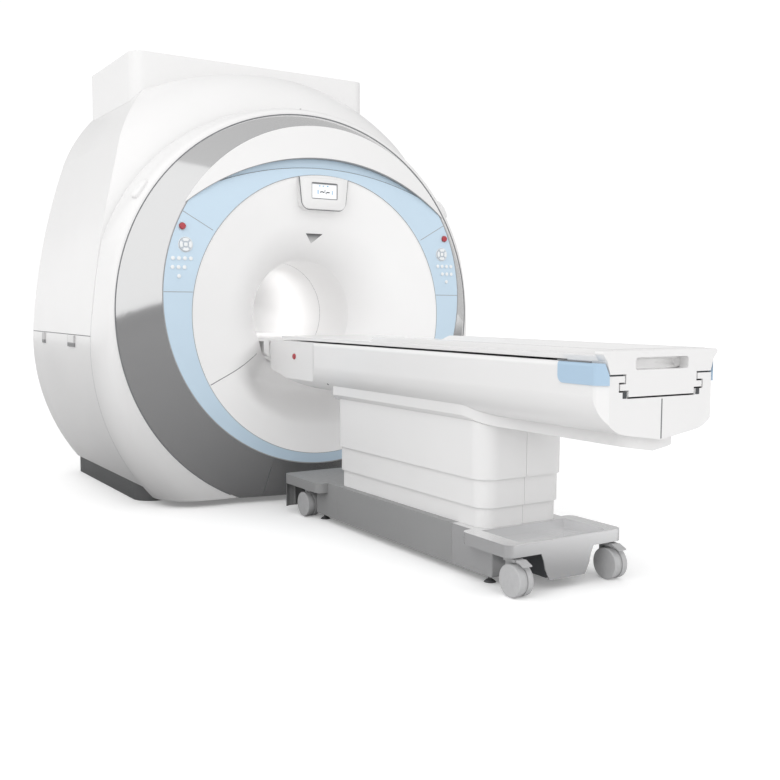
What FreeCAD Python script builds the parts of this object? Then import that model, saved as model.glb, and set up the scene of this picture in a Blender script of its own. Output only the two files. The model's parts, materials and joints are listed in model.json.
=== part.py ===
"""A magnetic resonance scanner: a magnet in its covers, and a patient table on casters docked to it.

The origin is on the floor, straight below the middle of the magnet. +Y runs along the patient tunnel
into the magnet, +X is to the right of someone who stands at the table's foot and looks in, +Z is up.
All sizes are in millimetres. Heights named ..._DROP and ..._RISE are measured from the tunnel's axis.
"""
import FreeCAD
import Part
import math
import os

# ---------------------------------------------------------------- clearances
SEAT = 0.3              # between two pieces that are screwed or laid together
SEAM = 0.8              # open seam between two cover pieces
RUN = 0.05              # radial clearance of a shaft in its bore
SLIDE = 0.4             # between telescoping skirts and columns
FAR = 6000              # longer than the whole scanner, for blocks that only cut

# ---------------------------------------------------------------- tunnel and magnet
AXIS_HEIGHT = 1025      # tunnel axis above the floor
BORE_R = 300            # clear radius of the patient tunnel
LINER_WALL = 10
BODY_COIL_OUTER_R = 345
GRADIENT_OUTER_R = 455
VESSEL_OUTER_R = 925
VESSEL_HALF = 560       # half length of the helium vessel
COIL_HALF = 500         # half length of the gradient coil
BODY_COIL_HALF = 400

# ---------------------------------------------------------------- covers of the magnet
COVER_FRONT = -635      # front edge of the side covers
COVER_REAR = 650        # rear edge of the side covers
COVER_WALL = 12
REAR_PLATE = 24         # thickness of the rear cover
REAR_FLARE = 16         # rounding of the tunnel's rear edge
SIDE_HALF = 1135        # half width of the covers at the side seam
SIDE_SEAM_DROP = 118    # side seam below the axis
FOOT_HALF = SIDE_HALF - 258     # half width where the covers end above the plinth
FOOT_HEIGHT = 100       # height of the plinth
COVER_FOOT_Z = FOOT_HEIGHT + SEAT
CROWN_RISE = 1378       # highest point of the covers above the axis
CROWN_R = 1973          # radius of the crown in front view
SHOULDER_HALF = SIDE_HALF - 435     # where crown and shoulder meet
LOWER_BULGE = (SIDE_HALF - 52, -530)    # a point halfway along the side's lower arc, and so on upwards
UPPER_BULGE = (SIDE_HALF - 69, 400)
UPPER_END = (SIDE_HALF - 213, 925)
SHOULDER_BULGE = (SIDE_HALF - 300, 1090)
SCOOP_INNER_R = 1100    # the front of the crown is scooped back from this radius
SCOOP_INNER_Y = -625
SCOOP_MID_R = 1290
SCOOP_MID_Y = -500
SCOOP_OUTER_R = 1425
SCOOP_OUTER_Y = -240
PLINTH_HALF = FOOT_HALF - 7
PLINTH_FRONT = -560
PLINTH_CORNER_R = 110
PLINTH_OPEN_HALF = 420  # clear space between the plinth's two beams
SADDLE_WIDTH = 220      # the saddles that carry the vessel
SADDLE_TOP_Z = 300
ANCHOR_X = 1300         # spacing of the floor anchors across the tunnel
ANCHOR_Y = 1000         # spacing of the floor anchors along the tunnel
ANCHOR_R = 9
ANCHOR_DEPTH = 60
TURRET_HALF = SIDE_HALF - 380
TURRET_FRONT = -200
TURRET_RISE = 1470
TURRET_FOOT_RISE = 900  # the turret's walls start inside the crown
TURRET_CORNER_R = 70
TURRET_WALL = 14
LATCH_HEIGHT = 62
LATCH_DEPTH = 10
FRONT_LATCH_Y = -329
FRONT_LATCH_WIDTH = 135
REAR_LATCH_Y = 330
REAR_LATCH_WIDTH = 60

# ---------------------------------------------------------------- front rings
RING_FRONT = -1045      # front plane of the blue ring
RING_THICK = 18
RING_INNER_R = 745
RING_INNER_RISE = -8    # centre of the ring's inner edge above the axis
RING_OUTER_R = 896
RING_OUTER_RISE = 88    # centre of the ring's outer edge above the axis
CONE_OUTER_R = 1078     # outer edge of the silver cone
CONE_REAR = -868        # plane of that edge
CONE_WALL = 16
FLANGE_WALL = 12        # the cone's inner flange, which carries the blue ring
FLOOR_GAP = 32          # lower edge of the silver ring above the floor
DOCK_HALF = 295         # half width of the docking panel at the foot of the silver ring
BEZEL_WALL = 20
BEZEL_FULLNESS = 0.7    # below 1 the brow is fuller than a quarter ellipse
BEZEL_STEPS = 8         # points along the brow's curve
BEZEL_TURN_DEG = 19.5   # above this angle the bezel is a plain turned ring
BEZEL_END_DEG = 66      # the skirt is drawn down to this angle and cut off above the floor
BEZEL_SECTIONS = 14
BEZEL_FOOT_GAP = 36     # lower edge of the skirt above the floor
KNOB_ANGLE = 34         # bezel knobs, degrees above the horizontal
KNOB_BEND = 38          # and how far back along the brow's curve
KNOB_R = 28
KNOB_PROUD = 16
PANEL_LOW_RISE = 110    # lower seam of the control panels
PANEL_HIGH_RISE = 415   # upper seam of the control panels at PANEL_SEAM_X
PANEL_SEAM_X = 620
PANEL_SEAM_SLOPE = 0.559
VISOR_OUTER_R = 905
VISOR_LOWER_R = 1247
VISOR_LOWER_RISE = -424
VISOR_THICK = 36
VISOR_RIM = 3           # thickness of the visor at its outer edge
VISOR_SLOPE = 0.194     # how much thicker it grows towards its lower edge
SHADOW_R = 1737         # lower edge of the shallow recess below the visor
SHADOW_RISE = -965
SHADOW_DEPTH = 5

# ---------------------------------------------------------------- funnel
FUNNEL_WALL = 14
MOUTH_Y = -760          # where the funnel's rounding meets the tunnel
MOUTH_R = 200           # radius of that rounding
DISH_DEG = 17           # slope of the dish outside the rounding
FUNNEL_TUBE_END = -446
COLLAR_DEPTH = 40       # the funnel's rim runs back into the ring's flange
FUNNEL_SEAM_DROP = 171  # seam between the halves where it meets the table
FUNNEL_SEAM_X = 190
FUNNEL_SEAM_SLOPE = 0.41
HOLLOW_R = 590          # inside this radius the funnel's lower part is hollowed for the table's nose
HOLLOW_DEG = 66         # slope of the hollow
HOLLOW_LOW_R = 455      # the hollow is this steep down to here, then it bends into the tunnel
HOLLOW_END = -650
LEDGE_OUTER = (506, 259)    # the hollow's upper edge, as distance from the middle and drop
LEDGE_INNER = (337, 174)
BRIDGE_TOP_DROP = 136   # deck of the bridge on which the tabletop runs
BRIDGE_THICK = 16
BRIDGE_RAIL = 60        # depth of the bridge's side rails

# ---------------------------------------------------------------- display and laser window
POD_TOP_HALF = 146
POD_LOW_HALF = 128
POD_TOP_RISE = 726
POD_LOW_RISE = 556
POD_CORNER_R = 42
POD_FRONT = -1058
POD_DEPTH = 78
SCREEN_WIDTH = 151
SCREEN_HEIGHT = 80
SCREEN_RISE = 654
SCREEN_THICK = 6
SCREEN_SUNK = 2
LASER_HALF = 51
LASER_RISE = 436
LASER_POINT_RISE = 386
LASER_FRONT = -928
LASER_THICK = 20

# ---------------------------------------------------------------- control panels
STOP_X = 792
STOP_RISE = 434
STOP_R = 16
STOP_PROUD = 14
PAD_X = 776
PAD_RISE = 344
PAD_R = 34
PAD_PROUD = 7
BUTTON_SHANK = 10       # how deep a button's shank goes into its panel
KEY_R = 9
KEY_PROUD = 4
KEY_PITCH = 31
KEY_TOP_RISE = 276
KEY_ROW = 44            # distance between the rows of keys
KEY_SHIFTS = (0, 18, 16)    # how far each row is set outwards
KEY_X = 796

# ---------------------------------------------------------------- tabletop
DECK_HALF = 255
DECK_FRONT = -1010
DECK_DROP = 130         # underside of the tabletop below the axis
DECK_THICK = 16
DECK_CORNER_R = 60
RIM_HEIGHT = 21         # cradle rim above the deck
RIM_HALF = 222
RIM_WALL = 22
RIM_FRONT = -1900
RIM_LEAN = 30           # slope of the rim's front end
END_Y = -3432           # rear face of the end plate
END_THICK = 40
END_TOP_DROP = 97
END_TOP_HALF = 285
KEEL_LENGTH = 190       # length of the carriage under the rear end
KEEL_SHOULDER_DROP = 174
KEEL_SHOULDER_HALF = 243
KEEL_NECK_HALF = 170
KEEL_NECK_DROP = 207
KEEL_EAR_HALF = 197
KEEL_EAR_DROP = 228
KEEL_SOLE_HALF = 158
KEEL_SOLE_DROP = 250
KEEL_GAP = 6            # between the keel and the channel it runs in
SLOT_HALF = 128
SLOT_TOP_DROP = 120
SLOT_LOW_DROP = 162
SLOT_CORNER_R = 12

# ---------------------------------------------------------------- table body
TABLE_HALF = 283
TABLE_TOP_DROP = 137
TABLE_BILGE_DROP = 360  # where side and bottom would meet without their rounding
TABLE_BILGE_R = 130
TABLE_BOTTOM_DROP = 402
TABLE_EDGE_R = 16
TABLE_WALL = 8
TABLE_CUT_HALF = 262    # the covers end this far from the middle, beside the channel
NOSE_Y = -862
NOSE_CURVE = ((0, -212), (-128, -308), (-368, -362), (-508, -380), (-660, -402))   # the nose's underside
NOSE_SLOPE = 90         # the nose's top falls over this length
NOSE_BROW = 22          # by this much
NOSE_HALF = 252
NOSE_STEP_FRONT = -1400
NOSE_STEP_REAR = -1460
NOSE_CORNER_R = 60
NOSE_CLEAR_Y = -1250    # the channel in the covers ends here
TAIL_Y = -3400          # the rear end starts to draw in here
TAIL_HALF = 246
FRAME_FLOOR_HALF = 172
FRAME_FRONT = -1300
FRAME_BOTTOM_DROP = 300
BUMPER_FRONT = -3228
BUMPER_LOW_DROP = 209
BUMPER_PROUD = 4
BUMPER_DEPTH = 6        # how deep the bumper sits in the cover
BUMPER_CORNER_R = 26
NOSE_BUTTON_Y = -1195
NOSE_BUTTON_DROP = 216
NOSE_BUTTON_R = 15
NOSE_BUTTON_PROUD = 6
PAN_DEPTH = 42
PAN_FRONT = -1545
PAN_HALF = 245
PAN_WAIST_FRONT = -2650
PAN_WAIST_REAR = -2850
PAN_TAIL_HALF = 150
PAN_END_HALF = 125
PAN_END_Y = -3398
PAN_CORNER_R = 60
PAN_WAIST_R = 160

# ---------------------------------------------------------------- lifting column and its skirts
SKIRT_HALF = 220
SKIRT_FRONT = -1555
SKIRT_REAR = -2740
SKIRT_CORNER_R = 80
SKIRT_STEP = 10         # each lower tier is this much smaller all round
SKIRT_WALL = 6
SKIRT_SEAM = 2          # the seam down the middle of each tier's rear face
UPPER_SKIRT_Z = 392
MIDDLE_SKIRT_Z = 278
MIDDLE_SKIRT_TOP = 446
LOWER_SKIRT_TOP = 368
SKIRT_LIP = 12          # height of the guide lip round the top of a tier
COLUMN_X = 240
COLUMN_Y = 420
COLUMN_MID_Y = -2185
COLUMN_WALL = 10
COLUMN_OUTER_TOP = 366
COLUMN_INNER_LOW = 270

# ---------------------------------------------------------------- base of the table
BASE_TOP_Z = 197
BASE_LOW_Z = 32
BASE_HALF = 235
BASE_CORNER_R = 60
BASE_WALL = 5
SIDE_FRONT = -1620      # seam between front cover and side covers
SIDE_REAR = -2560       # seam between side covers and rear cover
WING_HALF = 290
WING_LOW_Z = 149
WING_CORNER_R = 36
FRONT_WING_Y = -1144
FRONT_WING_REAR = -1520
REAR_WING_FRONT = -2690
REAR_WING_Y = -2990
REAR_WALL_END = -2820   # the base's side walls end here, clear of the swivelling casters
APRON_RETURN = 20       # side returns of the front cover's apron
APRON_DROP = 8          # the apron reaches this far below the side covers
WELL_INNER_HALF = 195   # inner face of the front wheel wells
WELL_ROOM = 18          # space between wheel and well
REAR_DROP_HALF = 120
REAR_DROP_Z = 41
TRAY_Z = 158            # floor of the tray behind the column
TRAY_HALF = 215
TRAY_FRONT = SKIRT_REAR + 2 * SKIRT_STEP - 8    # the tray's front wall is the collar under the skirt
TRAY_RIM = 9
TRAY_CORNER_R = 30
CHASSIS_HALF = 185
CHASSIS_REAR_HALF = 100
CHASSIS_LOW_Z = 50
CHASSIS_TOP_Z = 142
CHASSIS_FRONT = -1170
CHASSIS_PLATE = 14
ARM_LOW_Z = 152
ARM_TOP_Z = BASE_TOP_Z - BASE_WALL - SEAT
RIB_YS = (-1700, -2480) # ribs under the side covers
ARM_INSET = 12          # between the arms' outline and the wings' outline
POST_DEPTH = 20         # the posts that carry the rear arms

# ---------------------------------------------------------------- casters and levelling feet
WHEEL_R = 62.5
WHEEL_HALF = 33         # half width over both discs
WHEEL_GAP = 7           # half the space between the discs
WHEEL_ROUND = 4
AXLE_R = 6
CASTER_X = 240
CASTER_TRAIL = 39
FRONT_WHEEL_Y = -1327
REAR_SWIVEL_Y = -2935
WEB_HALF = 6            # half thickness of the housing between the discs
STEM_R = 11
HOOD_Z = 131            # underside of the hood over the wheel
HOOD_TOP_Z = 143
HOOD_R = 24
PEDAL_PIN_R = 3
PEDAL_PIN_BACK = 20     # pedal pin behind the wheel's axle
PEDAL_LENGTH = 44
PEDAL_WIDTH = 42
PEDAL_THICK = 5
FOOT_X = 200
FOOT_FRONT_Y = -1432
FOOT_REAR_Y = -2768
FOOT_PAD_R = 25
FOOT_PAD = 9
FOOT_STEM_R = 8
FOOT_STEM_TOP_Z = 132
FOOT_LUG = 20           # half size of the lug on the chassis that holds a foot
FOOT_LUG_Z = 100

AXIS = FreeCAD.Vector(0, 0, AXIS_HEIGHT)


# ================================================================ drawing helpers
def vec(x, y, z):
    return FreeCAD.Vector(x, y, z)


def place(plane, at):
    """Returns a function that puts a flat point on a plane: front (x, z), plan (x, y) or side (y, z)."""
    if plane == "front":
        return lambda u, w: vec(u, at, w)
    if plane == "plan":
        return lambda u, w: vec(u, w, at)
    return lambda u, w: vec(at, u, w)


def normal(plane):
    return {"front": vec(0, 1, 0), "plan": vec(0, 0, 1), "side": vec(1, 0, 0)}[plane]


def corner(before, point, after, radius):
    """Start, middle and end of the arc that rounds a corner of a flat outline."""
    to_before = FreeCAD.Vector(before[0] - point[0], before[1] - point[1], 0)
    to_after = FreeCAD.Vector(after[0] - point[0], after[1] - point[1], 0)
    half = to_before.getAngle(to_after) / 2
    to_before.normalize()
    to_after.normalize()
    tip = FreeCAD.Vector(point[0], point[1], 0)
    reach = radius / math.tan(half)
    middle = to_before + to_after
    middle.normalize()
    centre = tip + middle * (radius / math.sin(half))
    return tip + to_before * reach, centre - middle * radius, tip + to_after * reach


def rounded_wire(points, plane, at):
    """A closed outline through the points; a third number rounds that corner."""
    put = place(plane, at)
    runs = []
    count = len(points)
    for index, point in enumerate(points):
        if len(point) == 3:
            before = points[index - 1]
            after = points[(index + 1) % count]
            runs.append(corner(before, point, after, point[2]))
        else:
            tip = FreeCAD.Vector(point[0], point[1], 0)
            runs.append((tip, None, tip))
    edges = []
    for index, (start, middle, end) in enumerate(runs):
        if middle is not None:
            edges.append(Part.Arc(put(start.x, start.y), put(middle.x, middle.y), put(end.x, end.y)).toShape())
        following = runs[(index + 1) % count][0]
        if (following - end).Length > 1e-6:
            edges.append(Part.LineSegment(put(end.x, end.y), put(following.x, following.y)).toShape())
    return Part.Wire(edges)


def prism(points, plane, low, high):
    face = Part.Face(rounded_wire(points, plane, low))
    return face.extrude(normal(plane) * (high - low))


def mirrored(points):
    """The outline's right half, given from top to bottom, joined to its left half."""
    left = [(-point[0],) + tuple(point[1:]) for point in reversed(points)]
    return list(points) + [point for point in left if abs(point[0]) > 1e-6]


def box(x0, x1, y0, y1, z0, z1):
    return Part.makeBox(x1 - x0, y1 - y0, z1 - z0, vec(x0, y0, z0))


def disc_y(radius, rise, low, high):
    """A cylinder along Y whose centre lies above or below the tunnel's axis."""
    return Part.makeCylinder(radius, high - low, vec(0, low, AXIS_HEIGHT + rise), vec(0, 1, 0))


def tube_y(inner, outer, low, high):
    return disc_y(outer, 0, low, high).cut(disc_y(inner, 0, low - 1, high + 1))


def flipped(shape):
    return shape.mirror(vec(0, 0, 0), vec(1, 0, 0))


def save(name, shape):
    shape = shape.removeSplitter() if shape.ShapeType == "Compound" else shape
    solids = shape.Solids
    out = solids[0] if len(solids) == 1 else Part.makeCompound(solids)
    out.exportStep("parts/" + name + ".step")
    box_ = out.BoundBox
    print(
        f"{name:24s} solids {len(solids)} volume {out.Volume / 1e6:10.3f} l valid {out.isValid()}"
        f"  x {box_.XMin:.0f}..{box_.XMax:.0f} y {box_.YMin:.0f}..{box_.YMax:.0f} z {box_.ZMin:.0f}..{box_.ZMax:.0f}"
    )


# ================================================================ outlines shared by several pieces
def side_arcs():
    """The two arcs of the right side, above and below the side seam, as start, middle and end."""
    seam = (SIDE_HALF, -SIDE_SEAM_DROP)
    return [
        (seam, UPPER_BULGE, UPPER_END),
        ((FOOT_HALF, COVER_FOOT_Z - AXIS_HEIGHT), LOWER_BULGE, seam),
    ]


def body_wire(at, grow=0.0):
    """The covers seen from the front: sides that bulge to the seam and lean in to a wide crown."""
    crown_centre = CROWN_RISE - CROWN_R
    shoulder_rise = crown_centre + math.sqrt(CROWN_R**2 - SHOULDER_HALF**2)
    arcs = side_arcs()
    arcs.append((UPPER_END, SHOULDER_BULGE, (SHOULDER_HALF, shoulder_rise)))
    put = place("front", at)
    rise = AXIS_HEIGHT
    edges = []
    for side in (1, -1):
        for start, middle, end in arcs:
            spots = [put(side * u, w + rise) for u, w in (start, middle, end)]
            edges.append(Part.Arc(*spots).toShape())
    top = [put(SHOULDER_HALF, shoulder_rise + rise), put(0, CROWN_RISE + rise), put(-SHOULDER_HALF, shoulder_rise + rise)]
    edges.append(Part.Arc(*top).toShape())
    edges.append(Part.LineSegment(put(-FOOT_HALF, COVER_FOOT_Z), put(FOOT_HALF, COVER_FOOT_Z)).toShape())
    wire = Part.Wire(Part.__sortEdges__(edges))
    return wire.makeOffset2D(grow) if grow else wire


def body_solid(low, high, grow=0.0):
    return Part.Face(body_wire(low, grow)).extrude(vec(0, high - low, 0))


def scoop(shift=0.0):
    """The space in front of the crown: a dish turned round the tunnel's axis."""
    put = place("plan", AXIS_HEIGHT)
    rim = SCOOP_OUTER_R + 300
    slope = (SCOOP_OUTER_Y - SCOOP_MID_Y) / (SCOOP_OUTER_R - SCOOP_MID_R)
    spots = [
        (SCOOP_INNER_R - 200, COVER_FRONT - 300),
        (SCOOP_INNER_R - 200, SCOOP_INNER_Y + shift),
        (SCOOP_INNER_R, SCOOP_INNER_Y + shift),
    ]
    edges = [Part.LineSegment(put(*spots[0]), put(*spots[1])).toShape()]
    edges.append(Part.LineSegment(put(*spots[1]), put(*spots[2])).toShape())
    arc = [(SCOOP_INNER_R, SCOOP_INNER_Y), (SCOOP_MID_R, SCOOP_MID_Y), (SCOOP_OUTER_R, SCOOP_OUTER_Y)]
    edges.append(Part.Arc(*[put(r, y + shift) for r, y in arc]).toShape())
    outer = (rim, SCOOP_OUTER_Y + slope * (rim - SCOOP_OUTER_R) + shift)
    edges.append(Part.LineSegment(put(SCOOP_OUTER_R, SCOOP_OUTER_Y + shift), put(*outer)).toShape())
    edges.append(Part.LineSegment(put(*outer), put(rim, COVER_FRONT - 300)).toShape())
    edges.append(Part.LineSegment(put(rim, COVER_FRONT - 300), put(*spots[0])).toShape())
    turned_dish = Part.Face(Part.Wire(edges)).revolve(AXIS, vec(0, 1, 0), 360)
    return turned_dish.common(box(-FAR, FAR, -FAR, FAR, AXIS_HEIGHT, FAR))


def funnel_spots(wall):
    """Where the funnel's turned outline bends, wall deep behind its front face, as (radius, y)."""
    slope = math.radians(DISH_DEG)
    sweep = math.pi / 2 - slope
    reach = RING_INNER_R + 60

    def on_arc(angle):
        radius = MOUTH_R - wall
        return (BORE_R + MOUTH_R - radius * math.cos(angle), MOUTH_Y - radius * math.sin(angle))

    bend = on_arc(sweep)
    rim = (reach, bend[1] - (reach - bend[0]) * math.tan(slope))
    return [(BORE_R + wall, FUNNEL_TUBE_END), (BORE_R + wall, MOUTH_Y), on_arc(sweep / 2), bend, rim]


def behind_funnel(wall):
    """Everything outside and behind the funnel, from wall deep behind its front face."""
    put = place("plan", AXIS_HEIGHT)
    tube_end, mouth, middle, bend, rim = [put(*spot) for spot in funnel_spots(wall)]
    corner_spot = put(RING_INNER_R + 60, FUNNEL_TUBE_END)
    edges = [
        Part.LineSegment(tube_end, mouth).toShape(),
        Part.Arc(mouth, middle, bend).toShape(),
        Part.LineSegment(bend, rim).toShape(),
        Part.LineSegment(rim, corner_spot).toShape(),
        Part.LineSegment(corner_spot, tube_end).toShape(),
    ]
    return Part.Face(Part.Wire(edges)).revolve(AXIS, vec(0, 1, 0), 360)


def funnel_solid():
    """Both halves of the funnel as one turned shell, with the rim that runs back into the ring."""
    behind = behind_funnel(FUNNEL_WALL)
    rim_r = RING_INNER_R - SEAT
    inside_ring = disc_y(rim_r, RING_INNER_RISE, RING_FRONT - 50, FUNNEL_TUBE_END + 50)
    shell = behind_funnel(0).cut(behind).common(inside_ring)
    rim_y = RING_FRONT + 2
    collar = disc_y(rim_r, RING_INNER_RISE, rim_y, rim_y + COLLAR_DEPTH)
    collar = collar.cut(disc_y(rim_r - FUNNEL_WALL / 2, RING_INNER_RISE, rim_y - 1, rim_y + COLLAR_DEPTH + 1))
    return shell.fuse(collar.common(behind)).removeSplitter()


def dish_depth(radius):
    """Where the plain funnel's front face lies, outside its rounding."""
    bend = funnel_spots(0)[3]
    return bend[1] - (radius - bend[0]) * math.tan(math.radians(DISH_DEG))


def beyond_plane(spot, inward):
    """A large block on one side of the plane through a spot."""
    block = Part.makeBox(2 * FAR, 2 * FAR, FAR, vec(-FAR, -FAR, 0))
    block.Placement = FreeCAD.Placement(spot, FreeCAD.Rotation(vec(0, 0, 1), inward))
    return block


def funnel_hollow(wall):
    """The hollow below the tunnel in which the table's nose moves, opened by wall on every side."""
    slope = math.radians(HOLLOW_DEG)
    out = (wall * math.sin(slope), wall * math.cos(slope))
    edge_y = dish_depth(HOLLOW_R)
    outer_r = HOLLOW_R + 100
    put = place("plan", AXIS_HEIGHT)
    spots = [
        (outer_r, edge_y - 100 * math.tan(slope)),
        (HOLLOW_LOW_R, edge_y + (HOLLOW_R - HOLLOW_LOW_R) * math.tan(slope)),
        (BORE_R, HOLLOW_END),
    ]
    spots = [put(r + out[0], y + out[1]) for r, y in spots]
    end_y = HOLLOW_END + out[1]
    front_y = RING_FRONT - 200
    outline = [put(0, end_y), put(0, front_y), put(outer_r + out[0], front_y)] + spots
    face = Part.Face(Part.makePolygon(outline + [outline[0]]))
    room = face.revolve(AXIS, vec(0, 1, 0), 360)
    room = room.common(box(-FAR, FAR, -FAR, FAR, 0, AXIS_HEIGHT - BRIDGE_TOP_DROP - BRIDGE_THICK - SEAM + wall))
    for side in (-1, 1):
        outer, inner = [
            AXIS + vec(side * x, dish_depth(math.hypot(x, drop)), -drop) for x, drop in (LEDGE_OUTER, LEDGE_INNER)
        ]
        along = (inner - outer).normalize()
        across = vec(along.z, 0, -along.x) if side < 0 else vec(along.z, 0, -along.x) * -1
        bank = (across.normalize() + vec(0, 1, 0)).normalize()
        inward = along.cross(bank).normalize()
        if inward.z > 0:
            inward = inward * -1
        room = room.common(beyond_plane(outer - inward * wall, inward))
    return room


def lower_wedge(raise_by=0.0):
    """Everything below the seam between the funnel's halves."""
    seam = AXIS_HEIGHT - FUNNEL_SEAM_DROP + raise_by
    far = 900
    end = seam - (far - FUNNEL_SEAM_X) * FUNNEL_SEAM_SLOPE
    points = [(-far, end), (-FUNNEL_SEAM_X, seam), (FUNNEL_SEAM_X, seam), (far, end), (far, -100), (-far, -100)]
    return prism(points, "front", RING_FRONT - 100, 100)


def keel_points(gap=0.0):
    """Right half of the tabletop's end profile, top to bottom; gap opens it to the channel it runs in."""
    def down(drop):
        return AXIS_HEIGHT - drop

    return [
        (KEEL_SHOULDER_HALF + 14 + gap, down(DECK_DROP)),
        (KEEL_SHOULDER_HALF + gap, down(KEEL_SHOULDER_DROP + gap)),
        (KEEL_NECK_HALF + gap, down(KEEL_SHOULDER_DROP + gap)),
        (KEEL_NECK_HALF + gap, down(KEEL_NECK_DROP - gap)),
        (KEEL_EAR_HALF + gap, down(KEEL_NECK_DROP - gap)),
        (KEEL_EAR_HALF + gap, down(KEEL_EAR_DROP + gap)),
        (KEEL_SOLE_HALF + gap, down(KEEL_EAR_DROP + gap)),
        (KEEL_SOLE_HALF + gap, down(KEEL_SOLE_DROP + gap)),
    ]


def channel(low, high, with_shoulder=True):
    """The channel for the keel, open at the top; without its shoulder the keel can run on the beam."""
    half = keel_points(KEEL_GAP)
    if not with_shoulder:
        half = half[3:]
    open_top = [(half[0][0], AXIS_HEIGHT)] + half
    return prism(mirrored(open_top), "front", low, high)


def table_section(grow=0.0):
    """Right half of the table body seen from its end, top to bottom."""
    top = AXIS_HEIGHT - TABLE_TOP_DROP
    return [
        (TABLE_HALF + grow, top + grow, TABLE_EDGE_R),
        (TABLE_HALF + grow, AXIS_HEIGHT - TABLE_BILGE_DROP - grow, TABLE_BILGE_R + grow),
        (0, AXIS_HEIGHT - TABLE_BOTTOM_DROP - grow),
    ]


def nose_curve(grow):
    """The underside of the nose from its tip to the level bottom, moved outwards by grow."""
    spots = [vec(0, NOSE_Y + y, AXIS_HEIGHT + z) for y, z in NOSE_CURVE]
    tangents = [(spots[min(i + 1, len(spots) - 1)] - spots[max(i - 1, 0)]).normalize() for i in range(len(spots))]
    tangents[0] = vec(0, 0, -1)
    tangents[-1] = vec(0, -1, 0)
    return [spot + vec(0, -tangent.z, tangent.y) * grow for spot, tangent in zip(spots, tangents)]


def nose_side(grow, top):
    """The table body's side view, extruded across it: level top, blunt nose and a long curved underside."""
    spots = nose_curve(grow)
    curve = Part.BSplineCurve()
    curve.interpolate(spots, InitialTangent=vec(0, 0, -1), FinalTangent=vec(0, -1, 0))
    low = END_Y - grow
    tip = NOSE_Y + grow
    shoulder = vec(0, tip - NOSE_SLOPE, top)
    brow = vec(0, tip, top - NOSE_BROW)
    foot = vec(0, low, spots[-1].z)
    edges = [curve.toShape()]
    for start, end in (
        (spots[-1], foot),
        (foot, vec(0, low, top)),
        (vec(0, low, top), shoulder),
        (shoulder, brow),
        (brow, spots[0]),
    ):
        edges.append(Part.LineSegment(start, end).toShape())
    face = Part.Face(Part.Wire(edges))
    face.translate(vec(-TABLE_HALF - 50, 0, 0))
    return face.extrude(vec(2 * TABLE_HALF + 100, 0, 0))


def table_solid(grow=0.0):
    """The table body as a solid: its section, cut by its side view and its plan."""
    high = NOSE_Y + grow
    low = END_Y - grow
    section = prism(mirrored(table_section(grow)), "front", low, high)
    top = AXIS_HEIGHT - TABLE_TOP_DROP + grow
    side = nose_side(grow, top)
    plan = prism(
        mirrored(
            [
                (0, high),
                (NOSE_HALF + grow, high, NOSE_CORNER_R),
                (NOSE_HALF + grow, NOSE_STEP_FRONT, 60),
                (TABLE_HALF + grow, NOSE_STEP_REAR, 60),
                (TABLE_HALF + grow, TAIL_Y - grow, 20),
                (TAIL_HALF + grow, low),
            ]
        ),
        "plan",
        0,
        AXIS_HEIGHT + 100,
    )
    return section.common(side).common(plan)


def half_space(side, gap=SEAM):
    """A large block on one side of the middle plane."""
    if side > 0:
        return box(gap / 2, FAR, -FAR, FAR, -FAR, FAR)
    return box(-FAR, -gap / 2, -FAR, FAR, -FAR, FAR)


# ================================================================ magnet and tunnel
def magnet_vessel():
    return tube_y(GRADIENT_OUTER_R + SEAT, VESSEL_OUTER_R, -VESSEL_HALF, VESSEL_HALF)


def gradient_coil():
    return tube_y(BODY_COIL_OUTER_R + SEAT, GRADIENT_OUTER_R, -COIL_HALF, COIL_HALF)


def body_coil():
    return tube_y(BORE_R + LINER_WALL + SEAT, BODY_COIL_OUTER_R, -BODY_COIL_HALF, BODY_COIL_HALF)


def bore_liner():
    return tube_y(BORE_R, BORE_R + LINER_WALL, FUNNEL_TUBE_END + SEAM, COVER_REAR + REAR_PLATE - REAR_FLARE)


def patient_bridge():
    """A deck on two rails in the tunnel's lower part, from the funnel's mouth to the rear cover."""
    low = MOUTH_Y + 20
    high = COVER_REAR + REAR_PLATE - 2
    core = disc_y(BORE_R - SEAT, 0, low, high)
    top = AXIS_HEIGHT - BRIDGE_TOP_DROP
    deck = box(-BORE_R, BORE_R, low, high, top - BRIDGE_THICK, top)
    rail_in = DECK_HALF - 75
    rails = box(-rail_in - 30, -rail_in, low, high, top - 200, top - BRIDGE_THICK)
    rails = rails.fuse(box(rail_in, rail_in + 30, low, high, top - 200, top - BRIDGE_THICK))
    return deck.fuse(rails).common(core).removeSplitter()


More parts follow.
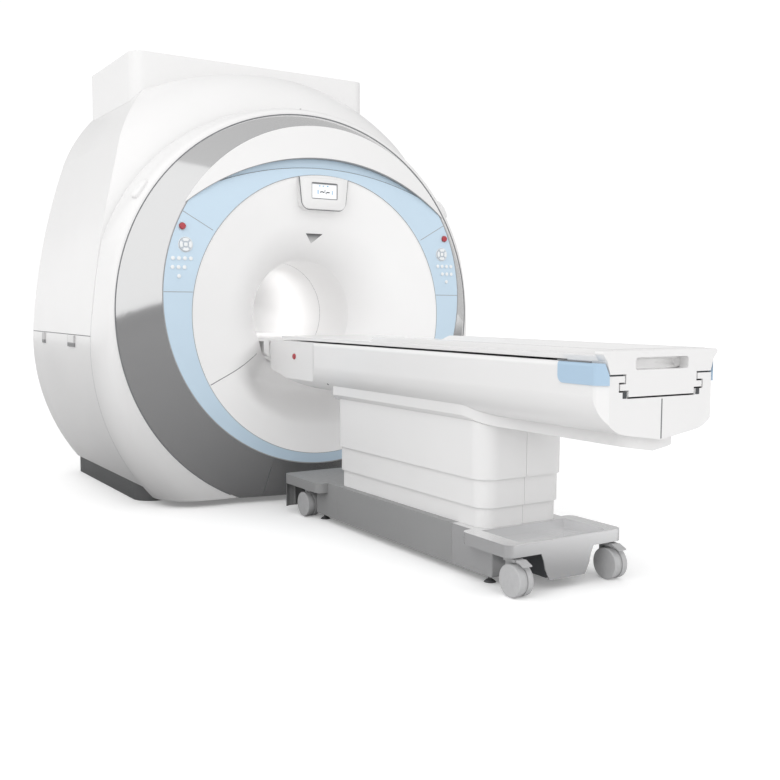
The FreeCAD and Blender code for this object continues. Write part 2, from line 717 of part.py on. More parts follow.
def plinth():
    """The grey base frame: two beams joined front and rear, saddled for the vessel, with anchor holes."""
    outer = [
        (PLINTH_HALF, COVER_REAR - 5, 20),
        (PLINTH_HALF, PLINTH_FRONT, PLINTH_CORNER_R),
    ]
    frame = prism(mirrored(outer), "plan", 0, FOOT_HEIGHT)
    rail = 140
    frame = frame.cut(
        box(-PLINTH_OPEN_HALF, PLINTH_OPEN_HALF, PLINTH_FRONT + rail, COVER_REAR - 5 - rail, -1, FOOT_HEIGHT + 1)
    )
    for side in (-1, 1):
        low_x = min(side * PLINTH_OPEN_HALF, side * (PLINTH_OPEN_HALF + SADDLE_WIDTH))
        for y in (PLINTH_FRONT + rail, COVER_REAR - 5 - 2 * rail):
            saddle = box(low_x, low_x + SADDLE_WIDTH, y, y + rail, FOOT_HEIGHT - 1, SADDLE_TOP_Z)
            frame = frame.fuse(saddle)
    frame = frame.cut(disc_y(VESSEL_OUTER_R + SEAT, 0, PLINTH_FRONT - 50, COVER_REAR + 50)).removeSplitter()
    for x in (-ANCHOR_X / 2, ANCHOR_X / 2):
        for y in (-ANCHOR_Y / 2, ANCHOR_Y / 2):
            frame = frame.cut(Part.makeCylinder(ANCHOR_R, ANCHOR_DEPTH, vec(x, y, 0)))
    return frame


# ================================================================ covers
def covers_shell():
    """Side covers and crown as one thin shell, open at the front and the rear."""
    outer = body_solid(COVER_FRONT, COVER_REAR).cut(scoop())
    inner = body_solid(COVER_FRONT - 1, COVER_REAR + 1, -COVER_WALL).cut(scoop(COVER_WALL * 1.5))
    shell = outer.cut(inner)
    shell = shell.cut(disc_y(SCOOP_INNER_R - BEZEL_WALL, 0, COVER_FRONT - 400, 0))
    return shell.cut(box(-FOOT_HALF + 60, FOOT_HALF - 60, COVER_FRONT - 10, COVER_REAR + 10, 0, FOOT_HEIGHT + 60))


def split_covers():
    shell = covers_shell()
    seam = AXIS_HEIGHT - SIDE_SEAM_DROP
    upper = shell.common(box(-FAR, FAR, -FAR, FAR, seam + SEAM / 2, FAR))
    lower = shell.common(box(-FAR, FAR, -FAR, FAR, 0, seam - SEAM / 2))
    return upper, lower.common(half_space(-1)), lower.common(half_space(1))


def rear_cover():
    edge_y = COVER_REAR + REAR_PLATE / 3
    plate = body_solid(COVER_REAR + SEAT, edge_y)
    slope = Part.makeLoft([body_wire(edge_y), body_wire(COVER_REAR + REAR_PLATE, -REAR_PLATE)], True, True)
    plate = plate.fuse(slope)
    hole = disc_y(BORE_R + LINER_WALL + SEAT, 0, COVER_REAR - 1, COVER_REAR + REAR_PLATE + 1)
    flare = Part.makeCone(
        BORE_R, BORE_R + 2 * REAR_FLARE, REAR_FLARE, vec(0, COVER_REAR + REAR_PLATE - REAR_FLARE + SEAT, AXIS_HEIGHT), vec(0, 1, 0)
    )
    return plate.cut(hole).cut(flare)


def turret_cover():
    """The service turret behind the crown, a plain box with rounded upright corners."""
    def block(inset):
        points = [
            (TURRET_HALF - inset, COVER_REAR - inset, TURRET_CORNER_R - inset),
            (TURRET_HALF - inset, TURRET_FRONT + inset, TURRET_CORNER_R - inset),
        ]
        top = AXIS_HEIGHT + TURRET_RISE - inset
        return prism(mirrored(points), "plan", AXIS_HEIGHT + TURRET_FOOT_RISE - 2 * inset, top)

    shell = block(0).cut(block(TURRET_WALL))
    body = body_solid(COVER_FRONT, COVER_REAR + 10, SEAT).cut(scoop(-SEAT))
    return shell.cut(body)


def cover_latches():
    """Four pull latches just below the side seam, two on each side."""
    seam = AXIS_HEIGHT - SIDE_SEAM_DROP
    latches = []
    for y, width in ((FRONT_LATCH_Y, FRONT_LATCH_WIDTH), (REAR_LATCH_Y, REAR_LATCH_WIDTH)):
        block = box(0, SIDE_HALF + LATCH_DEPTH, y, y + width, seam - 4 - LATCH_HEIGHT, seam - 4)
        block = block.makeFillet(4, [edge for edge in block.Edges if abs(edge.CenterOfMass.x - SIDE_HALF - LATCH_DEPTH) < 1])
        block = block.cut(body_solid(COVER_FRONT, COVER_REAR, SEAT))
        outer = max(block.Solids, key=lambda solid: solid.CenterOfMass.x)
        latches += [outer, flipped(outer)]
    return Part.makeCompound(latches)


# ================================================================ front rings
def cone_frustum(shift=0.0, outer_extra=0.0):
    """Solid between the blue ring's outer edge and the cone's outer edge, in planes apart."""
    front = Part.Wire(Part.makeCircle(RING_OUTER_R + SEAT, vec(0, RING_FRONT + shift, AXIS_HEIGHT + RING_OUTER_RISE), vec(0, 1, 0)))
    rear = Part.Wire(Part.makeCircle(CONE_OUTER_R + outer_extra, vec(0, CONE_REAR + shift, AXIS_HEIGHT), vec(0, 1, 0)))
    return Part.makeLoft([front, rear], True, True)


def silver_cone():
    """The silver cone with the flange behind the blue ring, cut flat above the floor."""
    flange_end = RING_FRONT + RING_THICK + SEAT + FLANGE_WALL
    skin = cone_frustum().cut(cone_frustum(CONE_WALL * 1.4))
    skin = skin.cut(disc_y(RING_OUTER_R + SEAT, RING_OUTER_RISE, RING_FRONT - 1, flange_end - FLANGE_WALL))
    skin = skin.cut(disc_y(RING_INNER_R, RING_INNER_RISE, RING_FRONT - 1, flange_end))
    flange_y = RING_FRONT + RING_THICK + SEAT
    flange = disc_y(RING_OUTER_R + 6, RING_OUTER_RISE, flange_y, flange_y + FLANGE_WALL)
    flange = flange.cut(disc_y(RING_INNER_R, RING_INNER_RISE, flange_y - 1, flange_y + FLANGE_WALL + 1))
    whole = skin.fuse(flange).removeSplitter()
    return whole.common(box(-FAR, FAR, -FAR, 0, FLOOR_GAP, FAR))


def silver_pieces():
    whole = silver_cone()
    dock = box(-DOCK_HALF, DOCK_HALF, -FAR, 0, 0, AXIS_HEIGHT - 400)
    gap = box(-DOCK_HALF - SEAM, DOCK_HALF + SEAM, -FAR, 0, -1, AXIS_HEIGHT - 400 + SEAM)
    return whole.cut(gap), whole.common(dock)


def circle_through(first, second, third):
    """Centre and radius of the circle through three flat points."""
    (ax, ay), (bx, by), (cx, cy) = first, second, third
    twice = 2 * (ax * (by - cy) + bx * (cy - ay) + cx * (ay - by))
    first_sq = ax * ax + ay * ay
    second_sq = bx * bx + by * by
    third_sq = cx * cx + cy * cy
    ux = (first_sq * (by - cy) + second_sq * (cy - ay) + third_sq * (ay - by)) / twice
    uy = (first_sq * (cx - bx) + second_sq * (ax - cx) + third_sq * (bx - ax)) / twice
    return (ux, uy), math.hypot(ax - ux, ay - uy)


def side_reach(turn):
    """Distance from the tunnel's axis to the covers' side, at an angle above the horizontal."""
    direction = (math.cos(turn), math.sin(turn))
    reach = 0.0
    for arc in side_arcs():
        (cx, cy), radius = circle_through(*arc)
        along = cx * direction[0] + cy * direction[1]
        reach = along + math.sqrt(along**2 - cx**2 - cy**2 + radius**2)
        if reach * direction[1] > -SIDE_SEAM_DROP:
            break
    return reach


def bezel_section(turn):
    """The bezel's wall cut by a half plane through the tunnel's axis: a rounded brow from cone to cover."""
    out = vec(math.cos(turn), 0, math.sin(turn))
    inner = CONE_OUTER_R + SEAT
    rear = COVER_FRONT - SEAM
    far = side_reach(turn)

    def brow(reach, front):
        spots = []
        for step in range(BEZEL_STEPS + 1):
            bend = math.pi / 2 * step / BEZEL_STEPS
            r = inner + (reach - inner) * math.sin(bend) ** BEZEL_FULLNESS
            y = front + (rear - front) * (1 - math.cos(bend))
            spots.append(AXIS + out * r + vec(0, y, 0))
        curve = Part.BSplineCurve()
        curve.interpolate(spots)
        return curve.toShape(), spots[0], spots[-1]

    skin, skin_front, skin_rear = brow(far, CONE_REAR)
    back, back_front, back_rear = brow(far - BEZEL_WALL, CONE_REAR + BEZEL_WALL)
    rear_edge = Part.LineSegment(skin_rear, back_rear).toShape()
    front_edge = Part.LineSegment(back_front, skin_front).toShape()
    return Part.Wire([skin, rear_edge, back, front_edge])


def bezel_ring():
    """The upper, plain turned part of the bezel."""
    sweep = 180 - 2 * BEZEL_TURN_DEG
    return Part.Face(bezel_section(math.radians(BEZEL_TURN_DEG))).revolve(AXIS, vec(0, -1, 0), sweep)


def front_bezel():
    """The white rim round the silver cone, which widens below into a skirt that reaches the floor."""
    sections = []
    for step in range(BEZEL_SECTIONS + 1):
        turn = BEZEL_TURN_DEG - (BEZEL_TURN_DEG + BEZEL_END_DEG) * step / BEZEL_SECTIONS
        sections.append(bezel_section(math.radians(turn)))
    wing_right = Part.makeLoft(sections, True, False)
    whole = bezel_ring().fuse([wing_right, flipped(wing_right)])
    return whole.common(box(-FAR, FAR, -FAR, 0, BEZEL_FOOT_GAP, FAR)).removeSplitter()


def bezel_knobs():
    """Two round caps on the bezel, one high on each side."""
    knobs = []
    bend = math.radians(KNOB_BEND)
    inner = CONE_OUTER_R + SEAT
    brow_r = inner + (side_reach(math.radians(BEZEL_TURN_DEG)) - inner) * math.sin(bend) ** BEZEL_FULLNESS
    brow_y = CONE_REAR + (COVER_FRONT - SEAM - CONE_REAR) * (1 - math.cos(bend))
    for angle in (KNOB_ANGLE, 180 - KNOB_ANGLE):
        turn = math.radians(angle)
        out = vec(math.cos(turn), 0, math.sin(turn))
        base = AXIS + out * (brow_r - KNOB_PROUD) + vec(0, brow_y, 0)
        cap = Part.makeCone(KNOB_R, KNOB_R * 0.8, 2 * KNOB_PROUD, base, out)
        seat = bezel_ring()
        seat.translate(out * SEAT)
        outside = max(cap.cut(seat).Solids, key=lambda solid: (solid.CenterOfMass - AXIS).Length)
        knobs.append(outside)
    return Part.makeCompound(knobs)


def ring_blank():
    ring = disc_y(RING_OUTER_R, RING_OUTER_RISE, RING_FRONT, RING_FRONT + RING_THICK)
    return ring.cut(disc_y(RING_INNER_R + SEAT, RING_INNER_RISE, RING_FRONT - 1, RING_FRONT + RING_THICK + 1))


def panel_region(shrink=0.0):
    """The right control panel's share of the ring, between its two seams."""
    def seam_z(x):
        return AXIS_HEIGHT + PANEL_HIGH_RISE + (x - PANEL_SEAM_X) * PANEL_SEAM_SLOPE

    low = AXIS_HEIGHT + PANEL_LOW_RISE + shrink
    points = [(500, low), (1000, low), (1000, seam_z(1000) - shrink), (500, seam_z(500) - shrink)]
    return prism(points, "front", RING_FRONT - 40, RING_FRONT + 60)


def above_panels():
    points = [
        (0, AXIS_HEIGHT + 1100),
        (1000, AXIS_HEIGHT + 1100),
        (1000, AXIS_HEIGHT + PANEL_HIGH_RISE + (1000 - PANEL_SEAM_X) * PANEL_SEAM_SLOPE),
        (500, AXIS_HEIGHT + PANEL_HIGH_RISE + (500 - PANEL_SEAM_X) * PANEL_SEAM_SLOPE),
        (0, AXIS_HEIGHT + PANEL_HIGH_RISE + (500 - PANEL_SEAM_X) * PANEL_SEAM_SLOPE),
    ]
    return prism(mirrored(points), "front", RING_FRONT - 40, RING_FRONT + 60)


def ring_top():
    top = ring_blank().common(above_panels())
    band = disc_y(1400, RING_OUTER_RISE, RING_FRONT - 1, RING_FRONT + SHADOW_DEPTH)
    band = band.cut(disc_y(SHADOW_R, SHADOW_RISE, RING_FRONT - 2, RING_FRONT + SHADOW_DEPTH + 1))
    return top.cut(band.common(box(-690, 690, -FAR, 0, AXIS_HEIGHT + 500, FAR)))


def ring_bottom():
    low = box(-FAR, FAR, -FAR, 0, 0, AXIS_HEIGHT + PANEL_LOW_RISE - SEAM)
    return ring_blank().common(low)


def key_spots():
    """Centres of the small keys on the right panel: rows of four, three and one."""
    spots = []
    for row, count in enumerate((4, 3, 1)):
        rise = KEY_TOP_RISE - row * KEY_ROW
        for index in range(count):
            x = KEY_X + (index - (count - 1) / 2) * KEY_PITCH + KEY_SHIFTS[row]
            spots.append((x, AXIS_HEIGHT + rise))
    return spots


def button_bore(x, rise, radius):
    return Part.makeCylinder(radius + SEAT, BUTTON_SHANK + 4, vec(x, RING_FRONT - 1, AXIS_HEIGHT + rise), vec(0, 1, 0))


def control_panel(side):
    panel = ring_blank().common(panel_region(SEAM))
    panel = panel.cut(button_bore(STOP_X, STOP_RISE, STOP_R)).cut(button_bore(PAD_X, PAD_RISE, PAD_R))
    for x, z in key_spots():
        key = Part.makeCylinder(KEY_R, KEY_PROUD + 2, vec(x, RING_FRONT - KEY_PROUD, z), vec(0, 1, 0))
        panel = panel.fuse(key)
    return panel if side > 0 else flipped(panel)


def stop_button(side):
    """A red push button with a domed cap and a shank in the panel's bore."""
    cap = Part.makeCylinder(STOP_R, STOP_PROUD + BUTTON_SHANK - 3, vec(STOP_X, RING_FRONT - STOP_PROUD, AXIS_HEIGHT + STOP_RISE), vec(0, 1, 0))
    front = [edge for edge in cap.Edges if abs(edge.CenterOfMass.y - RING_FRONT + STOP_PROUD) < 1e-3]
    cap = cap.makeFillet(4, front)
    return cap if side > 0 else flipped(cap)


def direction_pad(side):
    """A round rocker with four keys round a centre key."""
    centre = vec(PAD_X, RING_FRONT - PAD_PROUD, AXIS_HEIGHT + PAD_RISE)
    pad = Part.makeCylinder(PAD_R, PAD_PROUD + BUTTON_SHANK - 3, centre, vec(0, 1, 0))
    groove = Part.makeCylinder(15, 2, centre, vec(0, 1, 0)).cut(Part.makeCylinder(12, 2, centre, vec(0, 1, 0)))
    pad = pad.cut(groove)
    for turn in (45, 135):
        slot = box(-PAD_R - 1, PAD_R + 1, 0, 2, -1.5, 1.5)
        slot = slot.cut(Part.makeCylinder(15, 4, vec(0, -1, 0), vec(0, 1, 0)))
        slot.rotate(vec(0, 0, 0), vec(0, 1, 0), turn)
        slot.translate(centre)
        pad = pad.cut(slot)
    return pad if side > 0 else flipped(pad)


def visor():
    """The white crescent over the ring's upper part: a flat cone, so it stands out most at its lower edge."""
    back = RING_FRONT - SEAT
    tip = RING_FRONT - VISOR_THICK - SEAT
    lean = (VISOR_THICK - VISOR_RIM) / VISOR_SLOPE
    cone = Part.makeCone(VISOR_OUTER_R - lean, VISOR_OUTER_R, VISOR_THICK - VISOR_RIM,
                         vec(0, tip, AXIS_HEIGHT + RING_OUTER_RISE), vec(0, 1, 0))
    crescent = cone.fuse(disc_y(VISOR_OUTER_R, RING_OUTER_RISE, back - VISOR_RIM, back))
    crescent = crescent.cut(disc_y(VISOR_LOWER_R, VISOR_LOWER_RISE, tip - 1, back + 1))
    return crescent.common(box(-FAR, FAR, -FAR, 0, AXIS_HEIGHT, FAR)).removeSplitter()


# ================================================================ funnel, display, laser window
def pod_points(grow=0.0):
    top = AXIS_HEIGHT + POD_TOP_RISE + grow
    low = AXIS_HEIGHT + POD_LOW_RISE - grow
    return [
        (POD_TOP_HALF + grow, top + 30),
        (POD_TOP_HALF + grow, top),
        (POD_LOW_HALF + grow, low, POD_CORNER_R + grow),
    ]


def laser_points(grow=0.0):
    return [
        (LASER_HALF + grow, AXIS_HEIGHT + LASER_RISE + grow),
        (LASER_HALF + grow, AXIS_HEIGHT + LASER_RISE - 6),
        (5 + grow, AXIS_HEIGHT + LASER_POINT_RISE - grow),
    ]


def funnel_halves():
    hollow = funnel_hollow(0)
    walls = funnel_hollow(FUNNEL_WALL).common(behind_funnel(FUNNEL_WALL / 2)).cut(hollow)
    shell = funnel_solid().cut(hollow).fuse(walls).removeSplitter()
    pod_hole = prism(mirrored(pod_points(SEAT)), "front", POD_FRONT - 10, POD_FRONT + POD_DEPTH + 60)
    laser_hole = prism(mirrored(laser_points(SEAT)), "front", LASER_FRONT - 60, LASER_FRONT + 100)
    upper = shell.cut(lower_wedge(SEAM)).cut(pod_hole).cut(laser_hole)
    return largest(upper), largest(shell.common(lower_wedge()))


def display_pod():
    pod = prism(mirrored(pod_points()), "front", POD_FRONT, POD_FRONT + POD_DEPTH)
    pod = pod.common(disc_y(RING_INNER_R - 1, RING_INNER_RISE, POD_FRONT - 1, POD_FRONT + POD_DEPTH + 1))
    rim = [edge for edge in pod.Edges if all(abs(v.Y - POD_FRONT) < 1e-3 for v in edge.Vertexes)]
    pod = pod.makeChamfer(4, rim)
    w = SCREEN_WIDTH / 2 + SEAT
    h = SCREEN_HEIGHT / 2 + SEAT
    z = AXIS_HEIGHT + SCREEN_RISE
    return pod.cut(box(-w, w, POD_FRONT - 1, POD_FRONT + SCREEN_SUNK + SCREEN_THICK + SEAT, z - h, z + h))


def display_screen():
    y = POD_FRONT + SCREEN_SUNK
    z = AXIS_HEIGHT + SCREEN_RISE
    return box(-SCREEN_WIDTH / 2, SCREEN_WIDTH / 2, y, y + SCREEN_THICK, z - SCREEN_HEIGHT / 2, z + SCREEN_HEIGHT / 2)


def laser_window():
    return prism(mirrored(laser_points()), "front", LASER_FRONT, LASER_FRONT + LASER_THICK)


# ================================================================ tabletop and table body
def tabletop():
    """The sliding top: a thin deck, the cradle's rims, and the end plate with its hand slot and keel."""
    low = AXIS_HEIGHT - DECK_DROP
    top = low + DECK_THICK
    deck = prism(mirrored([(DECK_HALF, DECK_FRONT, DECK_CORNER_R), (DECK_HALF, END_Y + 10)]), "plan", low, top)
    rim_side = [(END_Y + 10, top - 1), (RIM_FRONT, top - 1), (RIM_FRONT - RIM_LEAN, top + RIM_HEIGHT, 20), (END_Y + 10, top + RIM_HEIGHT)]
    rim = prism(rim_side, "side", -RIM_HALF, RIM_HALF)
    dish = prism(
        mirrored([(RIM_HALF - RIM_WALL, top + RIM_HEIGHT + 1), (RIM_HALF - RIM_WALL - 30, top - 0.5), (0, top - 0.5)]),
        "front",
        END_Y + END_THICK,
        RIM_FRONT + 1,
    )
    rim = rim.cut(dish)
    plate_top = AXIS_HEIGHT - END_TOP_DROP
    end = prism(mirrored([(END_TOP_HALF, plate_top, 8)] + keel_points()), "front", END_Y, END_Y + END_THICK)
    carriage = prism(mirrored(keel_points()), "front", END_Y, END_Y + KEEL_LENGTH)
    inner = KEEL_SHOULDER_HALF - 26
    hollow = box(-inner, inner, END_Y + END_THICK, END_Y + KEEL_LENGTH + 1, AXIS_HEIGHT - KEEL_SHOULDER_DROP, low)
    slot_points = [
        (SLOT_HALF, AXIS_HEIGHT - SLOT_TOP_DROP, SLOT_CORNER_R),
        (SLOT_HALF, AXIS_HEIGHT - SLOT_LOW_DROP, SLOT_CORNER_R),
    ]
    slot = prism(mirrored(slot_points), "front", END_Y - 1, END_Y + END_THICK + 1)
    whole = deck.fuse([rim, end, carriage.cut(hollow)]).removeSplitter()
    over_slot = box(-SLOT_HALF, SLOT_HALF, END_Y + END_THICK - 1, END_Y + END_THICK + 60, AXIS_HEIGHT - SLOT_LOW_DROP, low - 0.5)
    return whole.cut(slot).cut(over_slot)


def bumper_region(grow=0.0):
    """The block of space that a corner bumper fills, seen from the side, on the right."""
    top = AXIS_HEIGHT - TABLE_TOP_DROP + 20
    low = AXIS_HEIGHT - BUMPER_LOW_DROP - grow
    points = [
        (END_Y - 60, top),
        (BUMPER_FRONT + grow, top),
        (BUMPER_FRONT + grow, low, BUMPER_CORNER_R),
        (END_Y - 60, low),
    ]
    return prism(points, "side", KEEL_SHOULDER_HALF + KEEL_GAP, TABLE_HALF + 40)


def table_covers():
    """Left and right halves of the table body's cover, with the keel's channel and room for the column."""
    outer = table_solid()
    inner = table_solid(-TABLE_WALL)
    shell = outer.cut(inner)
    shell = shell.cut(channel(END_Y - 10, NOSE_CLEAR_Y))
    hole = box(
        -COLUMN_X / 2 - 10,
        COLUMN_X / 2 + 10,
        COLUMN_MID_Y - COLUMN_Y / 2 - 10,
        COLUMN_MID_Y + COLUMN_Y / 2 + 10,
        500,
        AXIS_HEIGHT - FRAME_BOTTOM_DROP,
    )
    shell = shell.cut(hole)
    for side in (1, -1):
        region = bumper_region(SEAT) if side > 0 else flipped(bumper_region(SEAT))
        shell = shell.cut(region.cut(table_solid(-BUMPER_DEPTH)))
        shell = shell.cut(nose_button_bore(side))
    left = shell.common(half_space(-1))
    right = shell.common(half_space(1))
    return largest(left), largest(right)


def largest(shape):
    return max(shape.Solids, key=lambda solid: solid.Volume)


def bumper(side):
    body = table_solid(BUMPER_PROUD).cut(table_solid(-BUMPER_DEPTH + SEAT)).common(bumper_region())
    top = AXIS_HEIGHT - TABLE_TOP_DROP
    body = body.common(box(-FAR, FAR, -FAR, 0, 0, top))
    body = largest(body.cut(channel(END_Y - 50, BUMPER_FRONT + 50)))
    return body if side > 0 else flipped(body)


def nose_button_bore(side):
    return Part.makeCylinder(
        NOSE_BUTTON_R + SEAT, 60, vec(side * (NOSE_HALF - 40), NOSE_BUTTON_Y, AXIS_HEIGHT - NOSE_BUTTON_DROP), vec(side, 0, 0)
    )


def nose_button(side):
    """A red release button low on the nose, with a flange behind the cover."""
    base = vec(side * (NOSE_HALF - TABLE_WALL - 4), NOSE_BUTTON_Y, AXIS_HEIGHT - NOSE_BUTTON_DROP)
    cap = Part.makeCylinder(NOSE_BUTTON_R, TABLE_WALL + 4 + NOSE_BUTTON_PROUD, base, vec(side, 0, 0))
    tip = [edge for edge in cap.Edges if abs(abs(edge.CenterOfMass.x) - NOSE_HALF - NOSE_BUTTON_PROUD) < 1e-3]
    return cap.makeFillet(3, tip)


def table_frame():
    """The beam that carries the tabletop: a box with the keel's channel along its top."""
    top = AXIS_HEIGHT - KEEL_SHOULDER_DROP - SLIDE
    low = AXIS_HEIGHT - FRAME_BOTTOM_DROP
    points = [(TABLE_HALF, top), (TABLE_HALF, low + 40), (FRAME_FLOOR_HALF, low)]
    beam = prism(mirrored(points), "front", END_Y, FRAME_FRONT)
    beam = beam.common(table_solid(-TABLE_WALL - SEAT))
    return largest(beam.cut(channel(END_Y, FRAME_FRONT - 30, False)))


def pan_plan(low, high, grow=0.0):
    points = [
        (PAN_HALF + grow, PAN_FRONT + grow, PAN_CORNER_R),
        (PAN_HALF + grow, PAN_WAIST_FRONT, PAN_WAIST_R),
        (PAN_TAIL_HALF + grow, PAN_WAIST_REAR, PAN_WAIST_R),
        (PAN_END_HALF + grow, PAN_END_Y - grow, PAN_CORNER_R),
    ]
    return prism(mirrored(points), "plan", low, high)


def dropped_section(drop):
    """The table body's section moved down, over the table's whole length."""
    shape = prism(mirrored(table_section()), "front", END_Y, NOSE_STEP_FRONT)
    shape.translate(vec(0, 0, -drop))
    return shape


def belly_pan():
    """The shallow pan under the table body: wide over the column, then drawn in to a narrow keel."""
    band = dropped_section(PAN_DEPTH).cut(prism(mirrored(table_section(SEAT)), "front", END_Y - 1, NOSE_STEP_FRONT + 1))
    pan = band.common(pan_plan(0, AXIS_HEIGHT - TABLE_BILGE_DROP + 60))
    hole = box(
        -COLUMN_X / 2 - 10,
        COLUMN_X / 2 + 10,
        COLUMN_MID_Y - COLUMN_Y / 2 - 10,
        COLUMN_MID_Y + COLUMN_Y / 2 + 10,
        500,
        AXIS_HEIGHT,
    )
    return largest(pan.cut(hole))


# ================================================================ lifting column and skirts
def skirt_block(inset, low, high):
    points = [
        (SKIRT_HALF - inset, SKIRT_FRONT - inset, SKIRT_CORNER_R - inset),
        (SKIRT_HALF - inset, SKIRT_REAR + inset, SKIRT_CORNER_R - inset),
    ]
    return prism(mirrored(points), "plan", low, high)


def skirt_tier(step, low, high, lip):
    """One tier of the telescoping skirt, with a guide lip that runs inside the tier above."""
    inset = step * SKIRT_STEP
    tier = skirt_block(inset, low, high).cut(skirt_block(inset + SKIRT_WALL, low - 1, high + 1))
    if lip:
        outer = inset - SKIRT_STEP + SKIRT_WALL + SLIDE
        band = skirt_block(outer, high - SKIRT_LIP, high).cut(skirt_block(inset + 1, high - SKIRT_LIP - 1, high + 1))
        tier = tier.fuse(band).removeSplitter()
    rear = SKIRT_REAR + inset
    return tier.cut(box(-SKIRT_SEAM / 2, SKIRT_SEAM / 2, rear - 1, rear + SKIRT_SEAM, low - 1, high - SKIRT_LIP - 1))


def upper_skirt():
    tier = skirt_tier(0, UPPER_SKIRT_Z, AXIS_HEIGHT - TABLE_BILGE_DROP, False)
    pan = dropped_section(PAN_DEPTH + SEAT)
    return largest(tier.cut(pan))


def middle_skirt():
    return skirt_tier(1, MIDDLE_SKIRT_Z, MIDDLE_SKIRT_TOP, True)


def lower_skirt():
    return skirt_tier(2, BASE_TOP_Z + SEAT, LOWER_SKIRT_TOP, True)


def column_block(inset, low, high):
    x = COLUMN_X / 2 - inset
    y = COLUMN_Y / 2 - inset
    return box(-x, x, COLUMN_MID_Y - y, COLUMN_MID_Y + y, low, high)


def lift_outer():
    foot = CHASSIS_LOW_Z + CHASSIS_PLATE + SEAT
    return column_block(0, foot, COLUMN_OUTER_TOP).cut(column_block(COLUMN_WALL, foot - 1, COLUMN_OUTER_TOP + 1))


def lift_inner():
    inset = COLUMN_WALL + SLIDE
    top = AXIS_HEIGHT - FRAME_BOTTOM_DROP - SEAT
    return column_block(inset, COLUMN_INNER_LOW, top).cut(column_block(inset + COLUMN_WALL, COLUMN_INNER_LOW - 1, top - 20))


# ================================================================ base of the table
def base_plan(inset, low, high):
    """Plan of the whole base: the long body and the wings over the casters."""
    body = [
        (BASE_HALF - inset, FRONT_WING_Y - inset),
        (BASE_HALF - inset, REAR_WALL_END + inset, 8),
    ]
    shape = prism(mirrored(body), "plan", low, high)
    return shape


def wing(front, rear, inset, low, high):
    points = [
        (WING_HALF - inset, front - inset, WING_CORNER_R - inset),
        (WING_HALF - inset, rear + inset, WING_CORNER_R - inset),
    ]
    return prism(mirrored(points), "plan", low, high)


def tray_block(grow, top):
    """The hollow of the tray behind the column, between the rear cover's rims."""
    points = [
        (TRAY_HALF + grow, TRAY_FRONT + grow),
        (TRAY_HALF + grow, REAR_WING_Y + TRAY_RIM - grow, TRAY_CORNER_R + grow),
    ]
    return prism(mirrored(points), "plan", TRAY_Z - grow, top)


def base_shell():
    """All base covers as one shell, before they are parted at their seams."""
    outer = base_plan(0, BASE_LOW_Z, BASE_TOP_Z)
    outer = outer.fuse([wing(FRONT_WING_Y, FRONT_WING_REAR, 0, WING_LOW_Z, BASE_TOP_Z)])
    outer = outer.fuse([wing(REAR_WING_FRONT, REAR_WING_Y, 0, WING_LOW_Z, BASE_TOP_Z)])
    inner = base_plan(BASE_WALL, BASE_LOW_Z - 1, BASE_TOP_Z - BASE_WALL)
    inner = inner.fuse([wing(FRONT_WING_Y, FRONT_WING_REAR, BASE_WALL, WING_LOW_Z - 1, BASE_TOP_Z - BASE_WALL)])
    inner = inner.fuse([wing(REAR_WING_FRONT, REAR_WING_Y, BASE_WALL, WING_LOW_Z - 1, BASE_TOP_Z - BASE_WALL)])
    shell = outer.cut(inner)
    passage = box(
        -CHASSIS_REAR_HALF - SEAT,
        CHASSIS_REAR_HALF + SEAT,
        REAR_WALL_END - 1,
        REAR_WALL_END + BASE_WALL + 1,
        CHASSIS_LOW_Z - SEAT,
        CHASSIS_TOP_Z + SEAT,
    )
    shell = shell.cut(passage)
    tray = tray_block(BASE_WALL, BASE_TOP_Z).cut(tray_block(0, BASE_TOP_Z + 1))
    shell = shell.cut(tray_block(0, BASE_TOP_Z + 1)).fuse(tray.common(outer)).removeSplitter()
    column = skirt_block(2 * SKIRT_STEP + SKIRT_WALL + 2, BASE_TOP_Z - 20, BASE_TOP_Z + 1)
    return shell.cut(column)


def base_front_cover():
    """Front cover: a wing over the wheels, an apron at its front, and open wells for the wheels."""
    shell = base_shell().common(box(-FAR, FAR, SIDE_FRONT + SEAM / 2, 0, 0, FAR))
    apron = wing(FRONT_WING_Y, FRONT_WING_REAR, 0, BASE_LOW_Z - APRON_DROP, BASE_TOP_Z - 1)
    apron = apron.cut(wing(FRONT_WING_Y, FRONT_WING_REAR, BASE_WALL, 0, BASE_TOP_Z))
    apron = apron.common(box(-FAR, FAR, FRONT_WING_Y - APRON_RETURN, FRONT_WING_Y, 0, FAR))
    shell = shell.fuse(apron)
    for side in (-1, 1):
        low_x = min(side * WELL_INNER_HALF, side * FAR)
        well_rear = FRONT_WHEEL_Y - WHEEL_R - WELL_ROOM
        well = box(low_x, low_x + FAR - WELL_INNER_HALF, well_rear, FRONT_WING_Y - APRON_RETURN, 0, WING_LOW_Z)
        shell = shell.cut(well)
    return shell.removeSplitter()


def base_side_cover(side):
    shell = base_shell().common(box(-FAR, FAR, SIDE_REAR + SEAM / 2, SIDE_FRONT - SEAM / 2, 0, FAR))
    return largest(shell.common(half_space(side)))


def base_rear_cover():
    """The bright rear cover: wings over the casters, a tray behind the column, and a dropped middle."""
    shell = base_shell().common(box(-FAR, FAR, -FAR, SIDE_REAR - SEAM / 2, 0, FAR))
    rear = REAR_WING_Y
    drop_points = [
        (REAR_DROP_HALF + 14, WING_LOW_Z + 2),
        (REAR_DROP_HALF, WING_LOW_Z - 30, 20),
        (REAR_DROP_HALF - 8, REAR_DROP_Z + 44, 20),
        (REAR_DROP_HALF - 30, REAR_DROP_Z, 10),
    ]
    drop = prism(mirrored(drop_points), "front", rear, rear + BASE_WALL)
    return shell.fuse(drop).removeSplitter()


